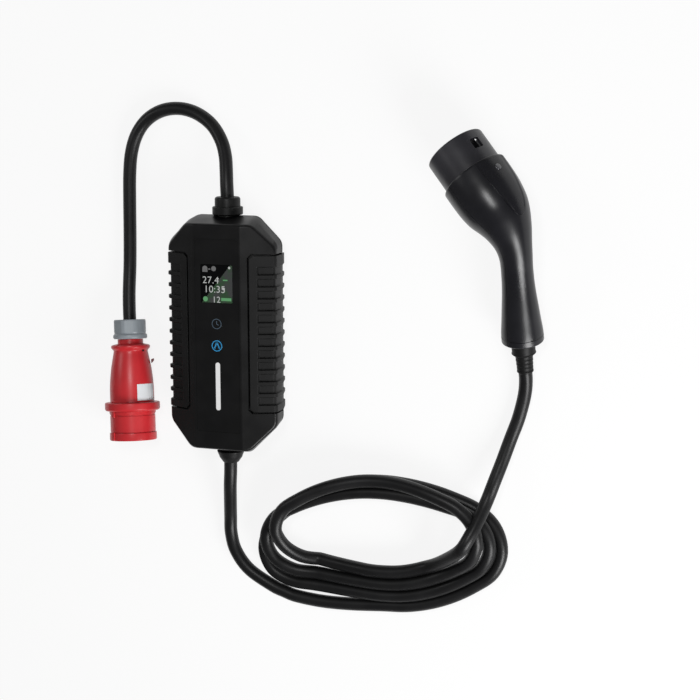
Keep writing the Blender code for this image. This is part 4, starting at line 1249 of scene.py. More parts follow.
    def grip_section(self, side: int, y: float, edge: float, grooved: bool) -> list[Vector]:
        """Return a grip's section over the shoulder, at a rib or at a groove."""
        rib = [
            (0.0391, self.facet(0.0391) + 0.0006), (0.0500, self.facet(0.0500) + 0.0007),
            (0.0534, 0.0450), (0.0554, 0.0424), (0.0563, 0.0288), (0.0520, 0.0128),
        ]
        groove = [
            (0.0396, self.facet(0.0396) - 0.0016), (0.0489, self.facet(0.0489) - 0.0016),
            (0.0517, 0.0434), (0.0535, 0.0410), (0.0546, 0.0288), (0.0505, 0.0128),
        ]
        rim = [(edge, self.facet(edge) + 0.0001), (0.0386, self.facet(0.0386) + 0.0006)]
        back = [
            (0.0486, 0.0130), (0.0511, 0.0262), (0.0509, 0.0402), (0.0494, 0.0428),
            (edge, self.facet(edge) - 0.0034),
        ]
        line = rim + (groove if grooved else rib) + back
        return [Vector((side * x, y, z)) for x, z in line]

    def grip(self, side: int) -> Object:
        """A rubber grip: a flat rim and rounded ribs with deep grooves between them."""
        bottom, low, high, top = self.grip_ends(0.0)
        sections = [self.grip_section(side, *top, False), self.grip_section(side, *high, False)]
        for i in range(self.grip_grooves):
            middle = self.first_groove - i * self.groove_pitch
            half = self.groove_width / 2
            for y, grooved in (
                (middle + half + self.groove_wall, False), (middle + half, True),
                (middle - half, True), (middle - half - self.groove_wall, False),
            ):
                sections.append(self.grip_section(side, y, self.grip_inner_edge, grooved))
        sections += [self.grip_section(side, *low, False), self.grip_section(side, *bottom, False)]
        name = "right" if side > 0 else "left"
        grip = Workpiece(f"ribbed_grip_{name}", lofted(sections))
        grip.soften(0.0007, 3, 28.0)
        return grip.deliver(RUBBER, "black_rubber", f"grip_{name}")

    def screen_outline(self, grow: float) -> list[Vector]:
        """Return the display's outline, grown all round."""
        low, high = self.screen_y - self.screen_half_length, self.screen_y + self.screen_half_length
        return rectangle(self.screen_half_width + grow, low - grow, high + grow, 0.0012)

    def bar_outline(self, grow: float) -> list[Vector]:
        """Return the status bar's outline with round ends, grown all round."""
        radius = self.bar_half_width + grow
        low, high = self.bar_y - self.bar_half_length - grow, self.bar_y + self.bar_half_length + grow
        return rectangle(radius, low, high, radius * 0.98, 12)

    def panel(self) -> Object:
        """The thin front film, open at the display, the keys and the status bar."""
        outline = rectangle(
            self.panel_half_width, self.panel_bottom, self.panel_top, self.panel_corner
        )
        film = Workpiece("front_film", prism(outline, self.height - self.panel_thickness, self.height))
        openings = (
            self.screen_outline(0.0002),
            disc_outline(self.timer_radius + self.flush, 64, (0, self.timer_y)),
            disc_outline(self.current_radius + self.flush, 64, (0, self.current_y)),
            self.bar_outline(GAP),
        )
        for opening in openings:
            film.boolean(prism(opening, *self.panel_cut))
        film.soften(0.00015, 2, 40.0)
        return film.deliver(FILM, "panel_film", "panel_overlay")

    def screen(self) -> Object:
        """The display's glass face."""
        face = prism(self.screen_outline(0.0), self.screen_back, self.height - self.flush)
        glass = Workpiece("display_face", face)
        glass.soften(0.0001, 1, 40.0)
        return glass.deliver(SCREEN, "display_glass", "display_window")

    def screen_marks(self) -> list[Object]:
        """The plain figures and marks that the display shows."""
        z = self.height - self.flush
        mark, point = z + self.mark_rise, z + self.point_rise
        digits = gathered([
            written("27.4", 0.0068, -0.0143, 0.0523, z), written("10:35", 0.0068, -0.0128, 0.0437, z),
            written("12", 0.0060, -0.0045, 0.0343, z),
        ])
        icons = gathered([
            prism(disc_outline(0.0026, 24, (-0.0115, 0.0662)), z, mark),
            block((-0.0141, 0.0630, z), (-0.0089, 0.0660, mark)),
            block((-0.0080, 0.0652, z), (-0.0060, 0.0664, mark)),
            prism(disc_outline(0.0024, 24, (-0.0027, 0.0663)), z, mark),
        ])
        spark = gathered([
            prism(disc_outline(0.0012, 24, (0.0131, 0.0675)), z, point),
            prism(disc_outline(0.0006, 16, (0.0018, 0.0569)), z, point),
            prism(disc_outline(0.0013, 24, (0.0072, 0.0475)), z, point),
        ])
        green = gathered([
            prism(disc_outline(0.0024, 24, (-0.0114, 0.0374)), z, mark),
            block((0.0046, 0.0361, z), (0.0148, 0.0389, mark)),
            block((0.0066, 0.0551, z), (0.0112, 0.0563, mark)),
        ])
        return [
            Workpiece("display_figures", digits).deliver(DIGITS, "light_white"),
            Workpiece("display_icons", icons).deliver(ICONS, "light_white"),
            Workpiece("display_points", spark).deliver(DIGITS, "light_white"),
            Workpiece("display_green_marks", green).deliver(GREEN, "light_white"),
        ]

    def keys(self) -> list[Object]:
        """The two touch keys: flush discs with a lit clock sign and a lit arrow sign."""
        made = []
        for name, y, radius in (
            ("timer", self.timer_y, self.timer_radius), ("current", self.current_y, self.current_radius),
        ):
            disc = Workpiece(
                f"{name}_key_face",
                prism(disc_outline(radius, 64, (0, y)), self.height - self.panel_thickness, self.height),
            )
            disc.soften(0.0001, 1, 40.0)
            made.append(disc.deliver(FILM, "panel_film", f"{name}_key_light"))
        z = self.height
        x, y = -0.0004, self.timer_y + 0.0004
        clock = gathered([
            self.hoop(0.0046, 0.00060, (x, y), z), self.stroke((x, y + 0.0028), (x, y), 0.0007, z),
            self.stroke((x, y), (x + 0.0020, y - 0.0012), 0.0007, z),
        ])
        made.append(Workpiece("timer_sign", clock).deliver(KEY_CYAN, "key_blue"))
        y = self.current_y
        arrow = gathered([
            self.hoop(0.0049, 0.0009, (x, y), z),
            self.stroke((x, y + 0.0034), (x - 0.0026, y - 0.0026), 0.0012, z),
            self.stroke((x, y + 0.0034), (x + 0.0026, y - 0.0026), 0.0012, z),
        ])
        made.append(Workpiece("current_sign", arrow).deliver(KEY_BLUE, "key_blue"))
        return made

    def hoop(self, radius: float, width: float, centre: tuple[float, float], z: float) -> BMesh:
        """Return a thin flat ring."""
        inner, outer, top = radius - width / 2, radius + width / 2, z + self.hoop_rise
        profile = [(inner, z), (outer, z), (outer, top), (inner, top)]
        bm = turned(profile, SMALL_STEPS, closed=True)
        bm.transform(Matrix.Translation((*centre, 0)))
        return bm

    def stroke(self, start: tuple[float, float], end: tuple[float, float], width: float, z: float) -> BMesh:
        """Return a thin flat stroke between two points."""
        along = Vector(end) - Vector(start)
        bm = block((0, -width / 2, z), (along.length, width / 2, z + self.point_rise))
        turn = Matrix.Rotation(Vector((1, 0)).angle_signed(along) * -1, 4, "Z")
        bm.transform(Matrix.Translation((*start, 0)) @ turn)
        return bm

    def status_bar(self) -> Object:
        """The white light bar in its slot."""
        bar = prism(self.bar_outline(0.0), self.bar_back, self.height + self.flush)
        lens = Workpiece("status_bar_lens", bar)
        lens.soften(0.0003, 2, 40.0)
        return lens.deliver(BAR, "light_white", "status_light_bar")

    def glands(self) -> list[Object]:
        """The stepped gland at the top end and the tapered one at the bottom end."""
        face, flange = self.half_length + GAP, self.gland_flange
        shank = [(0, -0.0165), (0.0089, -0.0165), (0.0089, 0)]
        stepped = shank + [
            (flange - 0.0006, 0), (flange, 0.0006), (flange, 0.0070), (flange - 0.0006, 0.0076),
            (0.0122, 0.0076), (0.0122, 0.0148), (0.0117, 0.0160), (0.0106, 0.0168), (0.0071, 0.0168),
            (0.0067, 0.0156), (0, 0.0156),
        ]
        tapered = shank + [
            (0.0130, 0), (0.0134, 0.0005), (0.0128, 0.0022), (0.0115, 0.0050), (0.0112, 0.0064),
            (0.0094, 0.0090), (0.0079, 0.0112), (0.0072, 0.0118), (0.0067, 0.0111), (0, 0.0111),
        ]
        made = []
        for name, node, profile, y, turn in (
            ("stepped_gland", "input_gland", stepped, face, -pi / 2),
            ("tapered_gland", "output_gland", tapered, -face, pi / 2),
        ):
            place = Matrix.Translation((0, y, self.parting)) @ Matrix.Rotation(turn, 4, "X")
            gland = Workpiece(name, turned(profile), place)
            gland.soften(0.0002, 2, 40.0)
            made.append(gland.deliver(GLAND, "black_shell", node))
        return made

    def dress_inner_parts(self) -> None:
        """Give the solids that stay as they are their own finishes."""
        finishes = {
            "housing_gasket_left": SEAL, "housing_gasket_right": SEAL, "main_board": BOARD,
            "display_board": BOARD, "display_module": RELAY, "relay_1": RELAY, "relay_2": RELAY,
            "power_supply": COPPER, "residual_current_sensor": FERRITE, "input_terminals": TERMINAL,
            "output_terminals": TERMINAL, "input_lock_nut": NUT, "output_lock_nut": NUT,
        }
        finishes.update({f"housing_screw_{i}": STEEL for i in range(1, 7)})
        for name, finish in finishes.items():
            for material_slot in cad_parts[name].material_slots:
                material_slot.material = finish.make()
        log.info("dressed %d inner parts", len(finishes))


# Five-pole plug


@dataclass
class FivePolePlug:
    """The red plug: ribbed nut, waisted body, flange, open sleeve, pins, nub and blank label."""

    entry: tuple[float, float, float] = (-0.1104, 0.0069, 0.01588)
    tilt: float = radians(7.7)
    turn: float = radians(4.3)
    nut_length: float = 0.0190
    nut_radius: float = 0.0159
    nut_rim: float = 0.0167
    nut_ribs: int = 8
    steps_per_rib: int = 12
    rib_depth: float = 0.0006
    groove_half_share: float = 0.22
    groove_flank_share: float = 0.06
    ring_radius: float = 0.0191
    body_bends: tuple[float, float] = (0.0640, 0.0690)
    body_slopes: tuple[float, float] = (0.07, 0.05)
    body_middle_radius: float = 0.02145
    body_radius: float = 0.0217
    body_end: float = 0.0815
    flange_radius: float = 0.02705
    flange_length: float = 0.0085
    sleeve_radius: float = 0.0224
    sleeve_bore: float = 0.0200
    carrier_thickness: float = 0.0045
    length: float = 0.1190
    pin_circle: float = 0.0128
    pin_radius: float = 0.0024
    earth_radius: float = 0.0031
    keyway: float = radians(-30)
    nub: float = radians(112)
    screw: float = radians(71)
    screw_place: float = 0.0307
    label_back: float = 0.0180
    label_front: float = 0.0018
    label_lift: float = 0.00003
    label_thickness: float = 0.00012
    label_from: float = radians(40)
    label_to: float = radians(98)

    def frame(self) -> Matrix:
        """Return the plug's frame: its axis is +Z, from the cord entry to the open sleeve."""
        a, b = self.turn, self.tilt
        axis = Vector((sin(a) * cos(b), -cos(a) * cos(b), sin(b)))
        side = Vector((0, 0, 1)).cross(axis).normalized()
        return Matrix.Translation(self.entry) @ Matrix((side, axis.cross(side), axis)).transposed().to_4x4()

    def line(self, from_top: float) -> Matrix:
        """Return the frame turned so that X points at a line right of the uppermost one."""
        return self.frame() @ Matrix.Rotation(pi / 2 - from_top, 4, "Z")

    def build(self) -> list[Object]:
        """Build and dress every piece of the plug.

        Returns:
            The nut, the body and the sleeve.
        """
        main = [self.nut(), self.body(), self.sleeve()]
        self.seal()
        self.carrier()
        self.pins()
        self.release_nub()
        self.label()
        self.ring_screw()
        return main

    def nut(self) -> Object:
        """The clamping nut: flat ribs round it, a groove and a flared rim."""
        parts = self.steps_per_rib
        steps = parts * self.nut_ribs
        rows = []
        for height, radius, rib in (
            (0.0, 0.0150, 0.0), (0.0008, self.nut_radius - 0.0003, 0.2), (0.0014, self.nut_radius, 1.0),
            (0.0122, self.nut_radius, 1.0), (0.0130, 0.0155, 0.2), (0.0138, 0.0153, 0.0),
            (0.0150, self.nut_rim - 0.0004, 0.0), (0.0156, self.nut_rim, 0.0), (0.0178, self.nut_rim, 0.0),
            (0.0184, self.nut_rim - 0.0004, 0.0), (self.nut_length, 0.0158, 0.0),
        ):
            rows.append([
                Vector((self.ribbed(radius, rib, k / parts) * cos(tau * k / steps),
                        self.ribbed(radius, rib, k / parts) * sin(tau * k / steps), height))
                for k in range(steps)
            ])
        nut = Workpiece("ribbed_nut", lofted(rows), self.frame())
        mouth = turned([(0, -0.001), (0.0098, -0.001), (0.0092, 0.0030), (0, 0.0030)], 64)
        nut.boolean(mouth, self.frame())
        return nut.deliver(NUT, "nut_grey", "plug_gland_nut")

    def ribbed(self, radius: float, share: float, place: float) -> float:
        """Return the nut's radius at a place, where each whole number is the start of a rib."""
        part = place % 1.0
        past = (abs(part - 0.5) - self.groove_half_share) / self.groove_flank_share
        return radius - self.rib_depth * share * (1.0 - min(max(past, 0.0), 1.0))

    def body(self) -> Object:
        """The waisted rear body with its raised rear ring."""
        start = self.nut_length + GAP
        ring = self.ring_radius
        middle, full = self.body_bends
        profile = [
            (0, start), (0.0125, start), (0.0125, 0.0236), (0.0130, 0.0239), (0.0174, 0.0248),
            (ring - 0.0005, 0.0254), (ring, 0.0261), (ring, 0.0277), (ring - 0.0004, 0.0283),
            (0.0178, 0.0294), (0.0170, 0.0302), (0.0167, 0.0310), (0.0172, 0.0340), (0.0180, 0.0378),
            (0.0188, 0.0420), (0.0195, 0.0460), (0.0201, 0.0500), (0.02065, 0.0545), (0.0211, 0.0590),
            (self.body_middle_radius, middle), (self.body_radius, full),
            (self.body_radius, self.body_end - GAP), (0, self.body_end - GAP),
        ]
        body = Workpiece("plug_body", turned(profile, 128), self.frame())
        return body.deliver(RED, "plug_red", "plug_housing")

    def seal(self) -> Object:
        """The rubber seal in the nut's mouth."""
        profile = [(0.0064, 0.0006), (0.0090, 0.0006), (0.0086, 0.0027), (0.0064, 0.0027)]
        seal = Workpiece("nut_seal", turned(profile, 64, closed=True), self.frame())
        return seal.deliver(RUBBER, "black_rubber", "plug_cord_seal")

    def sleeve(self) -> Object:
        """The flange and the open sleeve, with its lip and keyway ribs."""
        front = self.length
        lip = front - 0.0075
        web = self.body_end + self.flange_length
        flange, sleeve, bore = self.flange_radius, self.sleeve_radius, self.sleeve_bore
        profile = [
            (0, self.body_end), (0.0256, self.body_end), (0.0264, self.body_end + 0.0002),
            (flange - 0.0002, self.body_end + 0.0007), (flange, self.body_end + 0.0012),
            (flange, web - 0.0020), (flange - 0.0003, web - 0.0014), (0.0262, web - 0.0005),
            (0.0252, web - 0.0001), (0.0240, web), (sleeve + 0.0004, web + 0.0003),
            (sleeve + 0.0004, web + 0.0022), (sleeve - 0.0002, web + 0.0026), (sleeve - 0.0002, web + 0.0038),
            (sleeve - 0.0008, web + 0.0040), (sleeve - 0.0008, web + 0.0046), (sleeve - 0.0002, web + 0.0048),
            (sleeve - 0.0002, lip - 0.0010), (sleeve - 0.0007, lip - 0.0008), (sleeve - 0.0007, lip - 0.0003),
            (sleeve + 0.0005, lip), (sleeve + 0.0007, lip + 0.0008), (sleeve + 0.0007, front - 0.0010),
            (sleeve + 0.0004, front - 0.0003), (sleeve, front), (bore + 0.0006, front),
            (bore, front - 0.0006), (bore, web), (0, web),
        ]
        piece = Workpiece("plug_open_sleeve", turned(profile, 128), self.frame())
        for start, end, height in (
            (lip - 0.0010, front - 0.0004, 0.0018), (web - 0.0010, web + 0.0060, 0.0012),
        ):
            rib = block((sleeve - 0.0012, -0.0022, start), (sleeve + height, 0.0022, end))
            rounded = Workpiece("rib", rib).soften(0.0005, 2).obj
            bm = bmesh.new()
            bm.from_mesh(rounded.data)
            bpy.data.objects.remove(rounded, do_unlink=True)
            piece.boolean(bm, self.line(self.keyway), "UNION")
        return piece.deliver(RED, "plug_red", "plug_sleeve")

    def carrier(self) -> Object:
        """The disc that carries the pins, deep in the sleeve."""
        floor = self.body_end + self.flange_length + GAP
        deck = floor + self.carrier_thickness
        disc = [(0, floor), (0.0192, floor), (0.0192, deck - 0.0008), (0.0184, deck), (0, deck)]
        piece = Workpiece("pin_carrier_disc", turned(disc), self.frame())
        return piece.deliver(DARK_RED, "plug_dark_red", "plug_pin_carrier")

    def pins(self) -> list[Object]:
        """The five round pins with tapered tips; the earth pin is thicker and longer."""
        deck = self.body_end + self.flange_length + GAP + self.carrier_thickness
        names = ("earth", "l1", "l2", "l3", "n")
        made = []
        for i, name in enumerate(names):
            angle = pi / 2 - self.keyway + tau * i / len(names)
            radius = self.earth_radius if name == "earth" else self.pin_radius
            tip = self.length - (0.0030 if name == "earth" else 0.0048)
            start = deck + GAP
            profile = [
                (0, start), (radius, start), (radius, tip - radius * 0.6), (radius * 0.9, tip - radius * 0.3),
                (radius * 0.62, tip - radius * 0.06), (radius * 0.4, tip), (0, tip),
            ]
            spot = Matrix.Translation((self.pin_circle * cos(angle), self.pin_circle * sin(angle), 0))
            pin = Workpiece(f"round_pin_{name}", turned(profile, 40), self.frame() @ spot)
            made.append(pin.deliver(NICKEL, "contact_nickel", f"plug_pin_{name}"))
        return made

    def release_nub(self) -> Object:
        """The small release nub on the right flank."""
        base = 0.0199
        profile = [
            (base, 0.0398), (base + 0.0027, 0.0390), (base + 0.0027, 0.0410), (base + 0.0014, 0.0428),
            (base, 0.0438),
        ]
        sections = [[Vector((x, y, z)) for x, z in profile] for y in (-0.0020, 0.0020)]
        nub = Workpiece("release_nub", lofted(sections), self.line(self.nub))
        nub.soften(0.0003, 2)
        return nub.deliver(DARK_RED, "plug_dark_red", "plug_release_latch")

    def label(self) -> Object:
        """The blank white label that wraps over the body just behind the flange."""
        low, high = self.body_end - self.label_back, self.body_end - self.label_front
        steps = 20
        loops = []
        for height in (low, *self.body_bends, high):
            inner = self.body_radius_at(height) + self.label_lift
            arcs = []
            for radius in (inner, inner + self.label_thickness):
                arcs.append([
                    Vector((radius * sin(a), radius * cos(a), height))
                    for a in (self.label_from + (self.label_to - self.label_from) * k / steps
                              for k in range(steps + 1))
                ])
            loops.append(arcs[0] + arcs[1][::-1])
        label = Workpiece("blank_label", lofted(loops), self.frame())
        return label.deliver(PAPER, "light_white")

    def body_radius_at(self, height: float) -> float:
        """Return the body's radius near the flange."""
        middle, full = self.body_bends
        if height >= full:
            return self.body_radius
        slope = self.body_slopes[0] if height < middle else self.body_slopes[1]
        return self.body_middle_radius + slope * (height - middle)

    def ring_screw(self) -> Object:
        """The small dark screw beside the rear ring."""
        head = turned([(0, 0.0164), (0.0011, 0.0164), (0.0011, 0.0176), (0.0007, 0.0180), (0, 0.0180)], 32)
        tip = Matrix.Rotation(pi / 2, 4, "Y")
        place = self.line(self.screw) @ Matrix.Translation((0, 0, self.screw_place)) @ tip
        screw = Workpiece("ring_screw", head, place)
        screw.boolean(block((-0.0009, -0.00018, 0.0177), (0.0009, 0.00018, 0.0190)), place)
        return screw.deliver(GLAND, "black_rubber")


# Vehicle connector


@dataclass
class VehicleConnector:
    """The vehicle connector: collar, contacts, two handle shells, shield plate, lens and relief."""

    front: tuple[float, float, float] = (0.2218, 0.1802, 0.0280)
    bend: tuple[float, float, float] = (0.2813, 0.1084, 0.0470)
    end: tuple[float, float, float] = (0.2854, 0.0066, 0.0189)
    bend_tangent: float = 0.028
    collar_radius: float = 0.0282
    collar_bore: float = 0.0250
    collar_length: float = 0.0310
    collar_web: float = 0.0035
    radii: tuple[tuple[float, float], ...] = (
        (0.0315, 0.0314), (0.0441, 0.0314), (0.0587, 0.0307), (0.0722, 0.0283), (0.0821, 0.0248),
        (0.0911, 0.0213), (0.1051, 0.0167), (0.1189, 0.0147), (0.1353, 0.0146), (0.1489, 0.0153),
        (0.1624, 0.0166), (0.1768, 0.0180), (0.1883, 0.0192), (0.1972, 0.0194),
    )
    shell_start: float = 0.0317
    ring_line: float = 0.1908
    plate_start: float = 0.0340
    plate_end: float = 0.0842
    plate_half_width: float = 0.0150
    lens_place: float = 0.0447
    lens_radius: float = 0.0030
    lock_place: float = 0.0140
    lock_half_width: float = 0.0048
    lock_half_length: float = 0.0050
    relief_length: float = 0.0305
    relief_ribs: int = 4
    rib_start: float = 0.0130
    rib_pitch: float = 0.0039
    carrier_radius: float = 0.0190
    carrier_flat: float = 0.0135
    contact_face: float = -0.0030
    socket_depth: float = 0.0170
    contacts: tuple[tuple[str, float, float, float], ...] = (
        ("l1", 0.0098, 0.0000, 0.0040), ("n", -0.0098, 0.0000, 0.0040), ("pe", 0.0, 0.0, 0.0040),
        ("l2", 0.0052, -0.0098, 0.0040), ("l3", -0.0052, -0.0098, 0.0040),
        ("cp", 0.0050, 0.0085, 0.0028), ("pp", -0.0050, 0.0085, 0.0028),
    )

    def axes(self) -> tuple[Vector, Vector, Vector, float]:
        """Return the front axis, the handle axis, the upward direction and the bend's angle."""
        front = (Vector(self.front) - Vector(self.bend)).normalized()
        handle = (Vector(self.end) - Vector(self.bend)).normalized()
        up = -(handle - front * handle.dot(front)).normalized()
        return front, handle, up, acos(-front.dot(handle))

    def mouth_frame(self) -> Matrix:
        """Return the collar's frame: +Z out of the mouth, +Y up."""
        front, _, up, _ = self.axes()
        return Matrix.Translation(self.front) @ Matrix((up.cross(front), up, front)).transposed().to_4x4()

    def station(self, distance: float) -> tuple[Vector, Vector, Vector]:
        """Return the centre, the upward normal and the side at a place on the centre line."""
        front, handle, up, bend = self.axes()
        straight = (Vector(self.front) - Vector(self.bend)).length - self.bend_tangent
        radius = self.bend_tangent / tan(bend / 2)
        side = up.cross(front)
        if distance <= straight:
            return Vector(self.front) - front * distance, up, side
        if distance <= straight + radius * bend:
            turn = (distance - straight) / radius
            normal = up * cos(turn) - front * sin(turn)
            return Vector(self.front) - front * straight + (normal - up) * radius, normal, side
        beyond = distance - straight - radius * bend
        normal = up * cos(bend) - front * sin(bend)
        return Vector(self.bend) + handle * (self.bend_tangent + beyond), normal, side

    def total(self) -> float:
        """Return the centre line's length from the mouth to the end of the handle."""
        _, _, _, bend = self.axes()
        corner = Vector(self.bend)
        legs = (Vector(self.front) - corner).length + (Vector(self.end) - corner).length
        return legs - 2 * self.bend_tangent + self.bend_tangent / tan(bend / 2) * bend

    def radius(self, distance: float) -> float:
        """Return the housing's radius at a place, by smooth interpolation of its list."""
        stops = self.radii
        if distance <= stops[0][0]:
            return stops[0][1]
        for i in range(len(stops) - 1):
            (a, first), (b, second) = stops[i], stops[i + 1]
            if distance <= b:
                before, after = stops[max(i - 1, 0)], stops[min(i + 2, len(stops) - 1)]
                span = b - a
                rise_a = (second - before[1]) / (b - before[0]) * span
                rise_b = (after[1] - first) / (after[0] - a) * span
                t = (distance - a) / span
                return (
                    (2 * t**3 - 3 * t**2 + 1) * first + (t**3 - 2 * t**2 + t) * rise_a
                    + (-2 * t**3 + 3 * t**2) * second + (t**3 - t**2) * rise_b
                )
        return stops[-1][1]

    def surface(self, distance: float, angle: float, lift: float = 0.0) -> Vector:
        """Return a point on the housing; the angle runs from the upward line towards the side."""
        centre, normal, side = self.station(distance)
        return centre + (normal * cos(angle) + side * sin(angle)) * (self.radius(distance) + lift)

    def lens_frame(self) -> Matrix:
        """Return the status lens's frame, standing on the upward line."""
        centre, normal, side = self.station(self.lens_place)
        turn = Matrix((side, normal.cross(side), normal)).transposed().to_4x4()
        return Matrix.Translation(centre + normal * self.radius(self.lens_place)) @ turn

    def build(self) -> list[Object]:
        """Build and dress every piece of the connector.

        Returns:
            The collar, the two handle shells and the strain relief.
        """
        main = [self.collar(), *self.shells(), self.relief()]
        self.shield()
        self.lens()
        self.contact_block()
        return main

    def collar(self) -> Object:
        """The round collar with the lock hole through its top wall."""
        end, outer, bore = -self.collar_length, self.collar_radius, self.collar_bore
        profile = [
            (0, end), (outer, end), (outer, -0.0016), (outer - 0.0002, -0.0007), (outer - 0.0007, -0.0002),
            (outer - 0.0013, 0.0), (bore + 0.0005, 0.0), (bore + 0.0001, -0.0002), (bore, -0.0006),
            (bore, end + self.collar_web), (0, end + self.collar_web),
        ]
        collar = Workpiece("collar_ring", turned(profile, 144), self.mouth_frame())
        outline = rectangle(
            self.lock_half_width, -self.lock_place - self.lock_half_length,
            -self.lock_place + self.lock_half_length, 0.0012, 6,
        )
        upright = Matrix.Rotation(pi / 2, 4, "X") @ Matrix.Scale(-1, 4, (0, 0, 1))
        hole = prism(outline, bore - 0.004, outer + 0.004)
        hole.transform(upright)
        bmesh.ops.recalc_face_normals(hole, faces=hole.faces)
        collar.boolean(hole, self.mouth_frame())
        collar.soften(0.0002, 2, 50.0)
        return collar.deliver(COLLAR, "gun_collar_grey", "gun_collar")

    def stations(self) -> list[tuple[float, float]]:
        """Return the shells' places along the centre line, each with how far its skin is sunk."""
        last = self.total() - 0.0005
        start = self.shell_start
        places = [(start, 0.0007), (start + 0.0003, 0.0003), (start + 0.0008, 0.0)]
        count = 64
        first, stop = start + 0.0025, self.ring_line - 0.0014
        places += [(first + (stop - first) * i / count, 0.0) for i in range(count + 1)]
        places += [
            (self.ring_line - 0.0006, 0.0), (self.ring_line - 0.0003, 0.0005),
            (self.ring_line + 0.0004, 0.0005), (self.ring_line + 0.0008, 0.0),
            (last - 0.0014, 0.0), (last - 0.0006, 0.0003), (last, 0.0010),
        ]
        return places

    def shells(self) -> list[Object]:
        """The upper and lower handle shells, parted along both sides."""
        steps = 40
        made = []
        halves = (("upper", "gun_upper_shell", -pi / 2), ("lower", "gun_lower_shell", pi / 2))
        for name, node, start in halves:
            loops = []
            for distance, sunk in self.stations():
                centre, normal, side = self.station(distance)
                radius = self.radius(distance) - sunk
                offset = asin(GAP / 2 / radius)
                loops.append([
                    centre + (normal * cos(angle) + side * sin(angle)) * radius
                    for angle in (start + offset + (pi - 2 * offset) * k / steps for k in range(steps + 1))
                ])
            shell = Workpiece(f"{name}_handle_shell", lofted(loops))
            if name == "upper":
                shell.boolean(self.lens_seat(), self.lens_frame())
            made.append(shell.deliver(HEAD, "gun_gloss_black", node))
        return made

    def lens_seat(self) -> BMesh:
        """Return the round seat of the status lens."""
        radius = self.lens_radius + GAP
        return turned([(0, -0.0014), (radius, -0.0014), (radius, 0.0060), (0, 0.0060)], 40)

    def shield(self) -> Object:
        """The bare shield plate on the head, with a raised line inside its edge."""
        rows, across = 48, 24
        loops = []
        for i in range(rows + 1):
            along = i / rows
            distance = self.plate_start + (self.plate_end - self.plate_start) * along
            reach = self.shield_reach(along, self.radius(distance))
            angles = [reach * (2 * k / across - 1) for k in range(across + 1)]
            top = [self.surface(distance, a, 0.0013 + self.shield_lift(a / reach, along)) for a in angles]
            bottom = [self.surface(distance, a, 0.0004) for a in angles]
            loops.append(top + bottom[::-1])
        plate = Workpiece("shield_plate", lofted(loops))
        plate.boolean(self.lens_seat(), self.lens_frame())
        return plate.deliver(PLATE, "gun_gloss_black", "gun_emblem_plate")

    def shield_reach(self, along: float, radius: float) -> float:
        """Return the plate's half angle at a share of its length."""
        return (self.plate_half_width * max(1 - along**2.2, 0.0) ** 0.5 + 0.0008) / radius

    def shield_lift(self, across: float, along: float) -> float:
        """Return how far the plate's face is sunk inside its raised edge."""
        edge = min(1.0 - abs(across), (1.0 - along) * 2.0)
        return -0.0004 * min(max((edge - 0.12) / 0.05, 0.0), 1.0)

    def lens(self) -> Object:
        """The round status lens."""
        r = self.lens_radius
        profile = [
            (0, -0.0011), (r, -0.0011), (r, 0.0014), (r * 0.92, 0.00175), (r * 0.8, 0.0019),
            (r * 0.5, 0.00205), (0, 0.0021),
        ]
        lens = Workpiece("smoked_lens", turned(profile, 48), self.lens_frame())
        return lens.deliver(LENS, "status_lens", "gun_status_lens")

    def contact_block(self) -> list[Object]:
        """The flat-topped contact block and its seven lined sockets."""
        base, face = -self.collar_length + self.collar_web + GAP, self.contact_face
        limit = asin(self.carrier_flat / self.carrier_radius)
        steps = 72
        sweep = pi + 2 * limit
        outline = [
            Vector((self.carrier_radius * cos(a), self.carrier_radius * sin(a), 0.0))
            for a in (limit - sweep * k / steps for k in range(steps + 1))
        ]
        carrier = Workpiece("contact_block", prism(outline, base, face), self.mouth_frame())
        made = []
        for name, x, y, radius in self.contacts:
            spot = self.mouth_frame() @ Matrix.Translation((x, y, 0))
            depth = face - self.socket_depth
            carrier.boolean(prism(disc_outline(radius), depth, 0.001), spot)
            outer = radius - GAP
            inner = outer - 0.0008
            floor = depth + GAP
            profile = [
                (0, floor), (outer, floor), (outer, face - 0.0024), (outer - 0.0002, face - 0.0022),
                (inner + 0.0002, face - 0.0022), (inner, face - 0.0024), (inner, floor + 0.0015),
                (0, floor + 0.0015),
            ]
            lining = Workpiece(f"contact_lining_{name}", turned(profile, 40), spot)
            made.append(lining.deliver(NICKEL, "contact_nickel", f"gun_contact_{name}"))
        carrier.soften(0.0003, 2, 50.0)
        made.append(carrier.deliver(CARRIER, "gun_gloss_black", "gun_contact_carrier"))
        return made

    def relief(self) -> Object:
        """The stepped strain relief: a broad root and a ribbed tail."""
        _, handle, _, _ = self.axes()
        _, _, side = self.station(self.total())
        turn = Matrix((side, handle.cross(side), handle)).transposed().to_4x4()
        tip = self.relief_length
        profile = [
            (0, GAP), (0.0120, GAP), (0.0124, GAP + 0.0004), (0.0124, 0.0011), (0.0120, 0.0015),
            (0.0110, 0.0020), (0.0108, 0.0098), (0.0111, 0.0106), (0.0113, 0.0112), (0.0109, 0.0117),
            (0.0086, 0.0119),
        ]
        for i in range(self.relief_ribs):
            start = self.rib_start + i * self.rib_pitch
            ridge = 0.0082 - 0.0002 * i
            valley = ridge - 0.0006
            profile += [
                (ridge - 0.0002, start), (ridge, start + 0.0003), (ridge, start + 0.0022),
                (ridge - 0.0002, start + 0.0026), (valley, start + 0.0030), (valley, start + 0.0034),
            ]
        profile += [
            (0.0077, tip - 0.0016), (0.0077, tip - 0.0006), (0.0072, tip), (0.0067, tip - 0.0004),
            (0, tip - 0.0004),
        ]
        relief = Workpiece("ribbed_relief", turned(profile), Matrix.Translation(self.end) @ turn)
        return relief.deliver(RUBBER, "black_rubber", "gun_strain_relief")


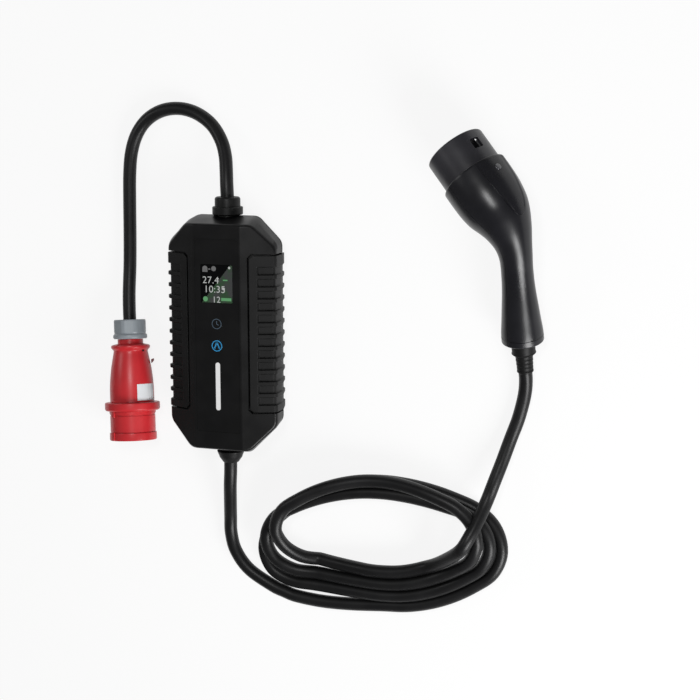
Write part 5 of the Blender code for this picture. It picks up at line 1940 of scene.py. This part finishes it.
def write_sizes() -> None:
    """Bring the scene's view layer up to date."""
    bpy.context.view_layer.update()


def main() -> None:
    """Build every piece of the charger and its studio."""
    logging.basicConfig(level=logging.INFO, format="%(message)s")
    Studio().build()
    upper_gland, lower_gland = ControlBox().build()
    plug = FivePolePlug().build()
    connector = VehicleConnector().build()
    InputCord().build([upper_gland, *plug])
    OutputCord().build([lower_gland, *connector])
    write_sizes()


if __name__ == "__main__":
    main()
